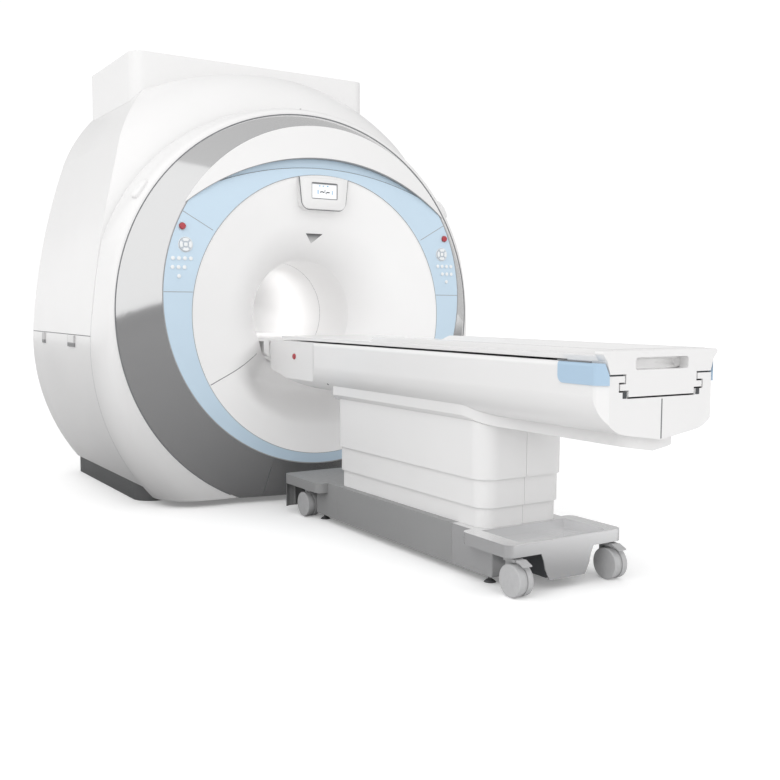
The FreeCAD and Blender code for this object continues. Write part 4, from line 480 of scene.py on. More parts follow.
def flake_paint(name, colour, rough, metallic):
    """Metallic paint: tiny bright flakes of uneven tone in a grey ground, under a thin clear coat."""
    made = Finish(name)
    flakes = made.node("TexVoronoi", {"Scale": 1400.0, "Vector": made.coords}, feature="F1")
    tone = made.node("SeparateColor", {"Color": flakes.outputs["Color"]}).outputs["Red"]
    made.bump(made.noise(500.0, 2.0), 0.0001, 0.05)
    return made.set(Base_Color=made.mixed(tone, scaled(colour, 0.96), colour, 0.0, 0.55),
                    Roughness=made.ranged(made.noise(1.3, 2.0), *rough),
                    Metallic=metallic, Coat_Weight=0.5, Coat_Roughness=0.10)


def brushed(name, colour, stretch):
    """Metal with fine brush lines: noise drawn out along one direction."""
    made = Finish(name)
    lines = made.noise(260.0, 5.0, stretch)
    made.bump(lines, 0.0003, 0.25)
    return made.set(Base_Color=made.mixed(lines, scaled(colour, 0.86), colour, 0.3, 0.7),
                    Roughness=made.ranged(lines, 0.28, 0.42), Metallic=1.0)


def resin(name, colour, copper):
    """Cast resin over wound conductors: stripes along the tunnel show through as bands."""
    made = Finish(name)
    bands = made.node("TexWave", {"Scale": 22.0, "Distortion": 0.6, "Vector": made.coords},
                      wave_type="BANDS", bands_direction="Y").outputs["Fac"]
    made.bump(bands, 0.0006, 0.3)
    return made.set(Base_Color=made.mixed(bands, colour, copper, 0.55, 0.95),
                    Roughness=made.ranged(made.noise(40.0), 0.22, 0.40),
                    Coat_Weight=0.4, Coat_Roughness=0.15)


def glassy(name, colour, edge, cells, glow):
    """A glossy, faintly lit pane: a dot grid of tiny cells under a clear coat, smears in its gloss."""
    made = Finish(name)
    dots = made.node("TexVoronoi", {"Scale": cells, "Randomness": 0.0, "Vector": made.coords}, feature="F1")
    pane = made.mixed(dots.outputs["Distance"], colour, edge, 0.35, 0.75)
    return made.set(Base_Color=pane, Emission_Color=pane, Emission_Strength=glow,
                    Roughness=made.ranged(made.noise(14.0, 6.0), 0.04, 0.13),
                    Coat_Weight=1.0, Coat_Roughness=0.02, Specular_IOR_Level=0.6)


def pane_with_painted_shade(name, dark, pale, low, high):
    """A glossy pane with painted shade: its tone falls from pale at height low to dark at height high, as in a
    shaded recess.
    """
    made = Finish(name)
    height = made.node("SeparateXYZ", {"Vector": made.coords}).outputs["Z"]
    rise = made.ranged(height, 0.0, 1.0, (low, high))
    wave = made.node("Math", {0: made.noise(300.0), 1: 0.05, 2: rise}, operation="MULTIPLY_ADD")
    middle = tuple((p + 2 * d) / 3 for p, d in zip(pale, dark))
    # Painted shade: dark at the top, pale towards the point.
    recess_shade = made.ramp(wave.outputs["Value"], (0.0, pale), (0.62, middle), (0.80, dark), (1.0, scaled(dark, 0.4)))
    return made.set(Base_Color=recess_shade, Roughness=made.ranged(made.noise(14.0, 6.0), 0.30, 0.36),
                    Coat_Weight=0.2, Coat_Roughness=0.10)


def latch_with_painted_shade(name, face, side, margins):
    """A latch: pale face, and painted shade: grey margins where it turns in at its ends (y) and along its foot
    (z).

    The painted shade is the largest of the margins, each rising from 0 to its weight over its stretch."""
    made = Finish(name)
    parts = made.node("SeparateXYZ", {"Vector": made.coords}).outputs
    value = None
    for axis, weight, stretch in margins:
        margin = made.ranged(parts[axis], 0.0, weight, stretch)
        if value is not None:
            margin = made.node("Math", {0: value, 1: margin}, operation="MAXIMUM").outputs["Value"]
        value = margin
    made.bump(made.noise(420.0, 2.0), 0.0002, 0.12)
    # side is the colour of the painted shade in the margins.
    return made.set(Base_Color=made.mixed(value, face, side, 0.05, 0.95),
                    Roughness=made.ranged(made.noise(50.0, 4.0), 0.30, 0.38),
                    Coat_Weight=0.25, Coat_Roughness=0.12)


def rubber(name, colour, tint=0.8, rough=(0.55, 0.75)):
    """Rubber or dense plastic with a dull, dusty surface."""
    made = Finish(name)
    dust = made.noise(48.0, 6.0, roughness=0.65)
    made.bump(made.noise(1100.0), 0.0003, 0.3)
    return made.set(Base_Color=made.mixed(dust, scaled(colour, tint), colour),
                    Roughness=made.ranged(dust, *rough), Specular_IOR_Level=0.35)


# Painted shade on the latch: grey where its face turns in at the ends and along its foot.
LATCH_SHADE_MARGINS = (("Z", 1.0, (0.866, 0.860)), ("Y", 0.45, (-0.317, -0.322)), ("Y", 0.45, (-0.206, -0.201)),
                 ("Y", 0.45, (0.379, 0.384)))
FINISHES = {}


def all_finishes(look):
    """One material for each slot of the record, and a few for the added details."""
    white, blue = tuple(look.cover_white), tuple(look.panel_blue)
    bumper = tuple(c * k for c, k in zip(blue, (0.72, 0.78, 0.84)))
    table = {
        "cover_white": (lacquer, white),
        "liner_white": (lacquer, tuple(min(c * 1.14, 1.0) for c in white), 0.985, (0.36, 0.46), 0.1, 520.0),
        "table_white": (lacquer, scaled(white, 0.985), 0.985, (0.30, 0.37), 0.35),
        "skirt_white": (powder, scaled(white, 0.99), 0.98, (0.5, 0.62)),
        "panel_blue": (lacquer, blue, 0.97, (0.30, 0.40), 0.3, 600.0),
        "silver_paint": (flake_paint, tuple(look.silver), (0.09, 0.12), 0.8),
        "plinth_grey": (powder, (0.20, 0.202, 0.205), 0.92, (0.32, 0.38), 500.0, 0.6),
        "vessel_metal": (brushed, (0.62, 0.63, 0.64), (1, 0.04, 1)),
        "coil_resin": (resin, (0.08, 0.07, 0.06), (0.45, 0.22, 0.10)),
        # The latch's finish paints shade into its margins.
        "latch_chrome": (latch_with_painted_shade, scaled(white, 0.97), (0.22, 0.22, 0.225), LATCH_SHADE_MARGINS),
        "screen_glass": (glassy, (0.92, 0.93, 0.94), (0.86, 0.87, 0.89), 1100.0, 0.14),
        # The laser window: a flat pane whose painted shade stands in for the shadow in its recess.
        "laser_glass": (pane_with_painted_shade, (0.22, 0.22, 0.225), grey(0.74), LASER_POINT, LASER_TOP),
        "button_red": (lacquer, (0.46, 0.035, 0.05), 0.85, (0.22, 0.32), 0.6, 700.0),
        "key_grey": (lacquer, (0.60, 0.65, 0.70), 0.93, (0.34, 0.44), 0.2, 900.0),
        "frame_dark": (powder, (0.07, 0.075, 0.08), 0.8, (0.45, 0.6), 600.0),
        "column_steel": (brushed, (0.55, 0.56, 0.57), (1, 1, 0.05)),
        "base_grey": (powder, tuple(look.base_grey), 0.93, (0.38, 0.5), 700.0),
        "base_silver": (flake_paint, tuple(look.base_silver), (0.17, 0.21), 0.7),
        "caster_grey": (powder, (0.46, 0.46, 0.465), 0.93, (0.4, 0.52), 800.0),
        "wheel_grey": (rubber, (0.50, 0.50, 0.505), 0.92),
        "foot_rubber": (rubber, (0.10, 0.10, 0.105)),
        "seam_grey": (rubber, (0.20, 0.205, 0.215), 0.9),
        "key_white": (lacquer, (0.86, 0.88, 0.89), 0.97, (0.30, 0.38), 0.4, 900.0),
        "bumper_blue": (powder, bumper, 0.96, (0.42, 0.52), 700.0),
        # Grey for joint lines, and for the painted shade on the visor's underside.
        "lip_grey": (rubber, (0.34, 0.345, 0.355), 0.92, (0.5, 0.6)),
        "mark_dark": (lacquer, (0.05, 0.06, 0.08), 0.9, (0.4, 0.5), 0.2, 900.0),
        "mark_blue": (lacquer, (0.12, 0.42, 0.72), 0.92, (0.4, 0.5), 0.2, 900.0),
    }
    return {name: make(name, *values) for name, (make, *values) in table.items()}


# ------------------------------------------------------------------ what a user would change
COLOUR = {"size": 3, "subtype": "COLOR", "min": 0, "max": 1}
LENGTH = {"unit": "LENGTH", "min": 0}
POWER = {"unit": "POWER", "min": 0}


class ScannerLook(bpy.types.PropertyGroup):
    """Colours of the main finishes, sizes of the small details and strengths of the lights."""
    cover_white: bpy.props.FloatVectorProperty(
        name="Cover white", description="Lacquer on the magnet covers", default=(0.815, 0.81, 0.808), **COLOUR)
    panel_blue: bpy.props.FloatVectorProperty(
        name="Panel blue", description="Pale blue front ring and bumpers", default=(0.575, 0.715, 0.835), **COLOUR)
    silver: bpy.props.FloatVectorProperty(
        name="Silver", description="Metallic paint on the cone", default=(0.68, 0.68, 0.682), **COLOUR)
    base_grey: bpy.props.FloatVectorProperty(
        name="Base grey", description="Side covers of the table base", default=(0.325, 0.326, 0.328), **COLOUR)
    base_silver: bpy.props.FloatVectorProperty(
        name="Base silver", description="Rear cover of the table base", default=(0.80, 0.80, 0.805), **COLOUR)
    key_radius: bpy.props.FloatProperty(
        name="Key radius", description="Radius of the small round keys", default=0.0098, **LENGTH)
    gasket_half: bpy.props.FloatProperty(
        name="Gasket half width", description="Half width of the gasket between bezel and silver cone",
        default=0.0039, **LENGTH)
    key_light: bpy.props.FloatProperty(
        name="Key light", description="Power of the large softbox at the front left", default=38.0, **POWER)
    top_light: bpy.props.FloatProperty(
        name="Top light", description="Power of the softbox above the front", default=14.0, **POWER)
    tunnel_light: bpy.props.FloatProperty(
        name="Tunnel light", description="Power of the light in the tunnel's ceiling", default=1.55, **POWER)
    tent_bright: bpy.props.FloatProperty(
        name="Tent bright side", description="Brightness of the light tent at the front left", default=1.30, min=0)
    tent_dark: bpy.props.FloatProperty(
        name="Tent dark side", description="Brightness of the light tent at the back right", default=0.58, min=0)


# ------------------------------------------------------------------ operators
class SCANNER_OT_camera(bpy.types.Operator):
    """Sets up the camera at the photograph's place."""
    bl_idname = "scanner.camera"
    bl_label = "Camera"

    def execute(self, context):
        yaw, pitch, roll = CAMERA_TURN
        flat = math.cos(pitch)
        forward = np.array([math.sin(yaw) * flat, math.cos(yaw) * flat, -math.sin(pitch)])
        right = np.array([math.cos(yaw), -math.sin(yaw), 0.0])
        up = np.cross(right, forward)
        lens = bpy.data.cameras.new("photo_camera")
        lens.sensor_width = SENSOR_MM
        lens.lens = FOCAL_PIXELS / FRAME_PIXELS * SENSOR_MM
        lens.clip_end = 200.0
        camera = bpy.data.objects.new("photo_camera", lens)
        context.scene.collection.objects.link(camera)
        place = np.eye(4)
        place[:3, 0] = math.cos(roll) * right + math.sin(roll) * up
        place[:3, 1] = math.cos(roll) * up - math.sin(roll) * right
        place[:3, 2] = -forward
        place[:3, 3] = CAMERA_PLACE
        camera.matrix_world = Matrix(place.tolist())
        context.scene.camera = camera
        return {"FINISHED"}


class SCANNER_OT_finishes(bpy.types.Operator):
    """Gives every carried-over part the finish of its slot."""
    bl_idname = "scanner.finishes"
    bl_label = "Finishes"

    def execute(self, context):
        FINISHES.update(all_finishes(context.scene.scanner_look))
        slots = {part["node"]: part["material_slot"] for part in frame["record"]["subparts"]}
        missing = sorted(set(slots.values()) - set(FINISHES))
        if missing:
            raise RuntimeError(f"no finish for {missing}")
        for node, piece in frame["nodes"].items():
            own = "bumper_blue" if node.startswith("bumper") else slots[node]
            piece.data.materials.clear()
            piece.data.materials.append(FINISHES[own])
        return {"FINISHED"}


class SCANNER_OT_panel_keys(bpy.types.Operator):
    """Domed caps over the eight small keys of each control panel."""
    bl_idname = "scanner.panel_keys"
    bl_label = "Panel keys"

    def execute(self, context):
        profile = dome_profile(context.scene.scanner_look.key_radius, KEY_DOME, KEY_SKIRT)
        for side, hand in SIDES:
            caps = []
            for row, (count, shift) in enumerate(KEY_ROWS):
                z = KEY_TOP_Z - row * KEY_ROW
                for index in range(count):
                    x = hand * (KEY_X + (index - (count - 1) / 2) * KEY_PITCH + shift)
                    caps.append(turned_piece("cap", profile, (x, RING_Y - 2 * LIFT, z), FRONT, 32))
            settle(joined(f"key_caps_{side}", caps), "gantry", "key_grey", "key_white")
        return {"FINISHED"}


class SCANNER_OT_direction_keys(bpy.types.Operator):
    """Four curved keys and a centre key on each direction pad, and collars round pad and stop button."""
    bl_idname = "scanner.direction_keys"
    bl_label = "Direction keys"

    def execute(self, context):
        face_y = RING_Y - PAD_PROUD - 4 * LIFT
        for side, hand in SIDES:
            keys = []
            for quarter in range(4):
                block = pillow_points(PAD_KEY_HALF)
                turn = block[..., 0] + quarter * math.pi / 2
                reach = PAD_KEY_REACH + block[..., 1]
                places = at(hand * PAD_X + reach * np.cos(turn), face_y - block[..., 2],
                            PAD_Z + reach * np.sin(turn))
                keys.append(grid_piece("key", places, wrap_u=True))
            keys.append(front_pillow("key", PAD_CENTRE_HALF, (hand * PAD_X, face_y, PAD_Z), 0.4))
            settle(joined(f"pad_keys_{side}", keys), f"pad_{side}", "key_grey", "key_white")
            for name, (x, z), section, steps, finish in COLLARS:
                centre = (hand * x, RING_Y - LIFT, z)
                collar = turned_piece(f"{name}_{side}", ring_profile(*section), centre, FRONT, steps)
                settle(collar, "gantry", "key_grey", finish)
        return {"FINISHED"}


def outline_reach(turn, side, top, low, lean, power):
    """Distance from the screen's middle to a four-sided outline in each direction, with soft corners.

    Each side is n . p = d; 1 / r is the sum of (n . u / d)^k over the sides it faces, to the power 1/k."""
    total = np.zeros_like(turn)
    for angle, distance in ((-lean, side), (math.pi / 2, top), (math.pi + lean, side), (-math.pi / 2, low)):
        total += (np.clip(np.cos(turn - angle), 0.0, None) / distance) ** power
    return total ** (-1 / power)


def raised_face():
    """The pod's raised face: a plateau round the screen whose margins slope down to the pod's rim.

    Loops P_k = M + r_k(t) (cos t, sin t) at heights h_k, from the screen's edge out and back below."""
    turn = np.linspace(0, 2 * np.pi, 144, endpoint=False)
    foot = SCREEN_Z - (AXIS_Z + POD_RISES[1])
    side = POD_HALVES[1] + 0.5 * (POD_HALVES[0] - POD_HALVES[1])
    wide, tall = SCREEN_HALF[0] + 0.003, SCREEN_HALF[1] + 0.003
    loops = []
    for across, top, low, lean, power, height in (       # distances of the sides from the middle first
            (wide, tall, tall, 0.0, 24, 0.0),
            (wide + 0.0005, tall + 0.0005, tall + 0.0005, 0.0, 24, 0.0040),
            (side - 0.032, 0.062, foot - 0.036, POD_LEAN, 9, 0.0050),
            (side - 0.027, 0.064, foot - 0.031, POD_LEAN, 8, 0.0042),
            (side - 0.008, 0.069, foot - 0.009, POD_LEAN, 6, 0.0)):
        reach = outline_reach(turn, across, top, low, lean, power)
        loops.append(at(reach * np.cos(turn), POD_Y - 2 * LIFT - height, SCREEN_Z + reach * np.sin(turn)))
    return grid_piece("pod_face", np.stack(loops, axis=1), wrap_u=True, wrap_v=True)


def pod_seal():
    """A dark bead of painted shade round the pod, where its side face turns away: down the leaning side,
    x = x0 + (z - z0) tan lean, round a corner of one radius to the foot, and mirrored up the other side."""
    top, low = AXIS_Z + POD_RISES[0] - POD_SHADE_TOP_DROP, AXIS_Z + POD_RISES[1]
    wall_z = np.linspace(top, low + POD_CORNER + 0.002, 14)
    wall_x = POD_HALVES[1] + (wall_z - low) * math.tan(POD_LEAN)
    a = np.linspace(POD_LEAN, math.pi / 2, 12)[1:]
    bend_x = wall_x[-1] - POD_CORNER * (math.cos(POD_LEAN) - np.cos(a))
    bend_z = wall_z[-1] - POD_CORNER * (np.sin(a) - math.sin(POD_LEAN))
    bend_z += (low - bend_z[-1]) * np.linspace(0, 1, len(a))
    x, z = np.concatenate([wall_x, bend_x]), np.concatenate([wall_z, bend_z])
    x, z = np.concatenate([x, -x[::-1]]), np.concatenate([z, z[::-1]])
    path = at(x, POD_Y + POD_SHADE_DEPTH, z)
    along = np.gradient(path, axis=0)
    outward = unit(at(-along[:, 2], 0.0, along[:, 0]))
    section = round_section(POD_SHADE_HALF, POD_SHADE_HALF, 12)
    return bead_piece("pod_seal", path + POD_SHADE_PROUD * outward, outward, FRONT, section)


class SCANNER_OT_display(bpy.types.Operator):
    """The pod's raised face and a dark bead of painted shade round it, the frame round its screen with a bar of
    painted shadow along its top, and plain status marks on it.
    """
    bl_idname = "scanner.display"
    bl_label = "Display"

    def execute(self, context):
        half_x, half_z = SCREEN_HALF[0] + 0.001, SCREEN_HALF[1] + 0.001
        path, out = rounded_path(half_x, half_z, 0.004, (0, POD_Y - 2 * LIFT, SCREEN_Z))
        trim(bead_piece("screen_frame", path, out, FRONT, round_section(0.0019, 0.0012, 12), closed=True))
        # A dark bar along the screen's top edge: painted shadow under the frame.
        bar_centre = (0.0, POD_Y - 4 * LIFT, SCREEN_Z + half_z - 0.002)
        trim(front_pillow("screen_visor", (half_x, 0.0036, 0.0012), bar_centre, 0.3, 9, 28))
        settle(raised_face(), "gantry", "cover_white")
        # Dark bead round the pod: painted shade.
        trim(pod_seal())
        marks = [front_pillow("mark", (*half, MARK_PROUD), (x, SCREEN_Y - 2 * LIFT, SCREEN_Z + rise), power, 9, 20)
                 for x, rise, half, power in MARKS]
        settle(joined("status_marks", marks), "gantry", "screen_glass", "mark_blue")
        x = np.linspace(*PULSE_SPAN, 160)
        beat = sum(height * np.exp(-((x - middle) / width) ** 2) for middle, width, height in PULSE)
        path = at(x, SCREEN_Y - 3 * LIFT, SCREEN_Z - PULSE_DROP + beat)
        trace = bead_piece("pulse_trace", path, UP, FRONT, round_section(0.0030, MARK_PROUD, 8))
        settle(trace, "gantry", "screen_glass", "mark_dark")
        return {"FINISHED"}


class SCANNER_OT_gaskets(bpy.types.Operator):
    """Dark gasket between bezel and silver cone, seam ring in the tunnel, strips in the side seams."""
    bl_idname = "scanner.gaskets"
    bl_label = "Gaskets"

    def execute(self, context):
        half = context.scene.scanner_look.gasket_half
        path, out = arc_path(AXIS_Z, CONE_RIM_R, *CONE_RIM_ARC, 260, CONE_RIM_Y)
        trim(bead_piece("cone_gasket", path, out, FRONT, round_section(half, 0.0022, 12)))
        outer, inner, reach = BORE_R + 0.003, BORE_R - 4 * LIFT, 0.001
        loop = [(outer, -reach), (inner, -reach), (inner, reach), (outer, reach)]
        trim(turned_piece("tunnel_seam", loop, (0, BORE_SEAM_Y, AXIS_Z), INWARD, 180))
        for side, hand in SIDES:
            path = at(hand * SIDE_X, np.linspace(*COVER_Y, 40), SIDE_SEAM_Z)
            trim(bead_piece(f"side_seam_{side}", path, hand * ACROSS, UP, round_section(0.0008, 0.0022, 10)))
        return {"FINISHED"}


class SCANNER_OT_ring_lines(bpy.types.Operator):
    """Shadow gaskets round the blue ring and in the joints between its pieces, the joints of docking
    panel and bezel, and the band behind the bezel's turned ring."""
    bl_idname = "scanner.ring_lines"
    bl_label = "Ring lines"

    def execute(self, context):
        lines = []
        for radius, rise, half, start, stop in RING_EDGES:
            path, out = arc_path(AXIS_Z + rise, radius, start, stop, 300, RING_Y - 2 * LIFT)
            whole = stop - start == 360
            if whole:
                path, out = path[:-1], out[:-1]
            lines.append(bead_piece("line", path, out, FRONT, round_section(half, 0.0009, 8), closed=whole))
        trim(joined("ring_lines", lines), "lip_grey")
        path, out = arc_path(AXIS_Z, FILLER_R, -3, 183, 240, FILLER_Y)
        filler = bead_piece("bezel_filler", path, out, FRONT, round_section(*FILLER_HALF, 12))
        settle(filler, "gantry", "cover_white")
        for side, hand in SIDES:
            starts = at(hand * (DOCK_HALF + 0.002), -1.6, np.linspace(AXIS_Z - 0.815, 0.060, 50))
            parts = ("silver_ring", "docking_panel")
            trim(laid_strip(f"dock_joint_{side}", parts, starts, INWARD, 0.0020, 0.0005))
        for side, hand in SIDES:
            seams = [self.panel_seam(hand, rise, slope) for rise, slope in PANEL_SEAMS]
            trim(joined(f"panel_seams_{side}", seams), "lip_grey")
            starts = at(hand * 1.4, COVER_Y[0] - 0.0014, np.linspace(0.16, 1.74, 120))
            covers = ("front_bezel", f"lower_cover_{side}", "upper_cover")
            trim(laid_strip(f"bezel_joint_{side}", covers, starts, -hand * ACROSS, 0.0016, 0.0004), "lip_grey")
        return {"FINISHED"}

    def panel_seam(self, hand, rise, slope):
        """A straight bead z = z0 + slope (x - x0) across the blue ring, kept between its two edges."""
        x = np.linspace(0.630, 0.893, 60)
        z = AXIS_Z + rise + slope * (x - PANEL_SEAM_X)
        (_, inner_rise, *_), (_, outer_rise, *_) = RING_EDGES
        outside_inner = np.hypot(x, z - AXIS_Z - inner_rise) > 0.747
        inside_outer = np.hypot(x, z - AXIS_Z - outer_rise) < 0.892
        path = at(hand * x, RING_Y - LIFT, z)[outside_inner & inside_outer]
        tilt = math.atan(slope)
        across = np.array([-hand * math.sin(tilt), 0.0, math.cos(tilt)])
        return bead_piece("seam", path, FRONT, across, round_section(0.0005, 0.0017, 8))


def plain_funnel(radius):
    """y of the turned funnel: a dish y = y1 - (r - r1) tan 17 deg outside r1, and inside it the arc
    y = c - sqrt(R^2 - (r1 + R sin 17 deg - r)^2) that runs on to the tunnel's rim at (r0, y0)."""
    slope = math.radians(FUNNEL_DISH_DEG)
    bend_y = RING_Y + (RING_INNER_R - FUNNEL_BEND_R) * math.tan(slope)
    run, rise = FUNNEL_BEND_R - BORE_R, FUNNEL_EDGE_Y - bend_y
    arc_r = math.hypot(run, rise) / (2 * math.sin(math.atan2(rise, run) - slope))
    inside = np.clip(arc_r ** 2 - (FUNNEL_BEND_R + arc_r * math.sin(slope) - radius) ** 2, 0.0, None)
    dish = bend_y - (radius - FUNNEL_BEND_R) * math.tan(slope)
    return np.where(radius > FUNNEL_BEND_R, dish, bend_y + arc_r * math.cos(slope) - np.sqrt(inside))


def hollow_funnel(radius, soften=0.030):
    """y of the hollow below the tunnel: steep from its outer edge, then shallow down to the tunnel's
    rim. The mean over r - s ... r + s rounds its bends."""
    steep = math.tan(math.radians(HOLLOW_DEG))
    edge_y = float(plain_funnel(np.array(HOLLOW_R)))
    low_y = edge_y + (HOLLOW_R - HOLLOW_LOW_R) * steep
    total = np.zeros_like(radius)
    shifts = np.linspace(-soften, soften, 15)
    for shift in shifts:
        r = np.maximum(radius + shift, 2 * BORE_R - (radius + shift))
        shallow = low_y + (HOLLOW_LOW_R - r) * (HOLLOW_END_Y - low_y) / (HOLLOW_LOW_R - BORE_R)
        wall = np.where(r > HOLLOW_LOW_R, edge_y + (HOLLOW_R - r) * steep, shallow)
        plain = plain_funnel(r)
        total += np.where(r > HOLLOW_R, plain, np.maximum(plain, wall))
    return total / len(shifts)


def funnel_skin():
    """The funnel's wall on a grid of turn t and radius r from the ring to the tunnel, and on into it.

    y = plain + w (hollow - plain), where w = s^2 (3 - 2 s) rises over the banks' angles, and the back
    is the same surface a wall's thickness further in."""
    turn = np.linspace(0, 2 * np.pi, 320, endpoint=False)[:, None]
    share = (np.linspace(0, 1, 62) ** 1.7)[None, ::-1]
    rim = RING_RISE * np.sin(turn) + np.sqrt(RING_INNER_R ** 2 - (RING_RISE * np.cos(turn)) ** 2)
    radius = BORE_R + (rim - BORE_R) * share
    below = np.degrees(np.arctan2(-np.sin(turn), np.abs(np.cos(turn))))
    step = np.clip((below - HOLLOW_BANK[0]) / (HOLLOW_BANK[1] - HOLLOW_BANK[0]), 0.0, 1.0)
    plain = plain_funnel(radius)
    depth = plain + step * step * (3 - 2 * step) * (hollow_funnel(radius) - plain)
    tube_y = depth[:, -1:] + (BORE_SEAM_Y - depth[:, -1:]) * (np.linspace(0, 1, 12) ** 2)[None, 1:]
    front_r = np.concatenate([radius, np.full_like(tube_y, BORE_R)], axis=1)
    front_y = np.concatenate([depth, tube_y], axis=1)
    wall = FUNNEL_WALL * 0.7
    back_r = np.minimum(front_r + wall, rim)[:, ::-1]
    back_y = (front_y + wall)[:, ::-1]
    back_y[:, 0] = BORE_SEAM_Y
    r, y = np.concatenate([front_r, back_r], axis=1), np.concatenate([front_y, back_y], axis=1)
    return grid_piece("funnel_skin", at(r * np.cos(turn), y, AXIS_Z + r * np.sin(turn)), wrap_u=True, wrap_v=True)


def laser_pane():
    """The triangular laser window, flat, with painted shade for its recess: rows that narrow evenly to the point,
    laid on the turned funnel.
    """
    down = np.linspace(0, 1, 24)[:, None]
    x = np.linspace(-1, 1, 25)[None, :] * LASER_HALF * (1 - down * 0.985)
    z = LASER_TOP - (LASER_TOP - LASER_POINT) * down
    front = at(x, plain_funnel(np.hypot(x, z - AXIS_Z)) - 8 * LIFT, z)
    back = front[:, ::-1] + 0.004 * INWARD
    return grid_piece("laser_pane", np.concatenate([front, back], axis=1), wrap_v=True, cap_u=True)


def tunnel_apron():
    """A flat plate below the bridge's deck: the circle's part under the chord at the deck's height,
    as loops P = M + k (E - M) from its middle out to the edge E and back."""
    ends = math.asin(BRIDGE_DROP / BORE_R)
    edge = (BORE_R + 0.002) * facing_ways(np.linspace(math.pi + ends, 2 * math.pi - ends, 60))
    middle = -0.5 * (BORE_R + BRIDGE_DROP) * UP
    layers = [middle + scale * (edge - middle) + np.array([0.0, APRON_Y + y, AXIS_Z])
              for scale, y in ((0.0, 0.0), (1.0, 0.0), (1.0, 0.006), (0.0, 0.006))]
    return grid_piece("tunnel_apron", np.stack(layers, axis=1), wrap_u=True)


class SCANNER_OT_funnel(bpy.types.Operator):
    """The funnel as one moulded skin whose hollow for the table's nose has soft banks."""
    bl_idname = "scanner.funnel"
    bl_label = "Funnel"

    def execute(self, context):
        skin = funnel_skin()
        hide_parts("upper_funnel", "lower_funnel")
        settle(skin, "gantry", "liner_white")
        pane = laser_pane()
        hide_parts("laser_window")
        settle(pane, "gantry", "laser_glass")
        settle(tunnel_apron(), "gantry", "liner_white")
        return {"FINISHED"}


class SCANNER_OT_funnel_seams(bpy.types.Operator):
    """Dark joint lines between the funnel's halves, laid on their surface on both sides."""
    bl_idname = "scanner.funnel_seams"
    bl_label = "Funnel seams"

    def execute(self, context):
        x = np.linspace(0.672, 0.300, 90)
        z = AXIS_Z - 0.171 - 0.41 * (x - 0.190)
        for side, hand in SIDES:
            starts = at(hand * x, -1.2, z)
            trim(laid_strip(f"funnel_seam_{side}", ("funnel_skin",), starts, INWARD, 0.0022, 0.0006))
        return {"FINISHED"}


class SCANNER_OT_visor_shade_and_line(bpy.types.Operator):
    """Grey strip of painted shade over the visor's underside along its lower edge, and the fine line at the foot
    of the recess.
    """
    bl_idname = "scanner.visor_trim"
    bl_label = "Visor trim"

    def execute(self, context):
        # A grey strip over the visor's underside: painted shade.
        path, out = arc_path(*VISOR_LOW, 51.6, 128.4, 120, RING_Y - LIFT)
        inset = VISOR_TIP[1] - np.hypot(path[:, 0], path[:, 2] - VISOR_TIP[0])
        depth = 0.003 + 0.194 * np.clip(inset, 0, None) - 0.0005
        lip = np.array([(0.0, 0.0), (0.0, 1.0), (-0.0035, 0.985), (-0.0035, 0.0)])
        points = (path - LIFT * out)[:, None, :] + lip[None, :, :1] * out[:, None, :]
        points[..., 1] -= lip[None, :, 1] * depth[:, None]
        trim(grid_piece("visor_lip", points, wrap_v=True, cap_u=True), "lip_grey")
        path, out = arc_path(*RECESS_LOW, 69.2, 110.8, 120, RING_Y)
        trim(bead_piece("recess_line", path, out, FRONT, round_section(0.0013, 0.0004, 8)))
        return {"FINISHED"}


class SCANNER_OT_bezel_handles(bpy.types.Operator):
    """Long soft knobs on the bezel's brow, one high on each side, and the small cap at its top."""
    bl_idname = "scanner.bezel_handles"
    bl_label = "Bezel knobs"

    def execute(self, context):
        block = pillow_points(KNOB_HALF, KNOB_POWER, 25, 48)
        for side, hand in SIDES:
            out = np.array([hand * math.cos(KNOB_TURN), 0.0, math.sin(KNOB_TURN)])
            tangent = np.array([-hand * math.sin(KNOB_TURN), 0.0, math.cos(KNOB_TURN)])
            up = KNOB_LEAN[0] * out + KNOB_LEAN[1] * FRONT
            centre = np.array([0.0, KNOB_Y, AXIS_Z]) + KNOB_R * out
            places = centre + block @ np.stack([tangent, np.cross(tangent, up), up])
            settle(grid_piece(f"bezel_knob_{side}", places, wrap_u=True), "gantry", "cover_white")
        profile = dome_profile(0.0055, 0.002, 0.001)
        trim(laid_cap("bezel_top_cap", "front_bezel", TOP_CAP_START, -UP, profile))
        return {"FINISHED"}


class SCANNER_OT_table_details(bpy.types.Operator):
    """Side cheeks that close the nose beside its channel, and the screw caps at the pan's front."""
    bl_idname = "scanner.table_details"
    bl_label = "Table details"

    def execute(self, context):
        angle = math.atan2(BODY_HALF - NOSE_HALF, NOSE_STEP[0] - NOSE_STEP[1])
        bend_y = NOSE_STEP[0] + NOSE_BEND_R * math.tan(angle / 2)
        a = np.linspace(0, angle, 10)[1:]
        x = np.concatenate([np.full(16, NOSE_HALF), NOSE_HALF + NOSE_BEND_R * (1 - np.cos(a))])
        y = np.concatenate([np.linspace(NOSE_TIP_Y, bend_y, 16), bend_y - NOSE_BEND_R * np.sin(a)])
        run = np.linspace(0.002, 0.016, 5)
        x = np.append(x, x[-1] + run * math.sin(angle))
        y = np.append(y, y[-1] - run * math.cos(angle))
        along = unit(at(np.gradient(x), np.gradient(y), 0.0))
        near, far, foot = NOSE_EDGE
        section = [(near, foot), (near, -0.001), (-0.001, near), (far, near), (far, foot)]
        for side, hand in SIDES:
            path = at(hand * x, y, TABLE_TOP_Z)
            outward = at(-hand * along[:, 1], along[:, 0], 0.0)
            settle(bead_piece(f"nose_cheek_{side}", path, outward, UP, section), "table_lift", "table_white")
            cap = laid_cap(f"pan_screw_{side}", f"table_cover_{side}", (hand * 0.5, PAN_SCREW_Y, PAN_SCREW_Z),
                           -hand * ACROSS, dome_profile(0.0060, 0.0012, 0.0008))
            trim(cap, body="table_lift")
        return {"FINISHED"}


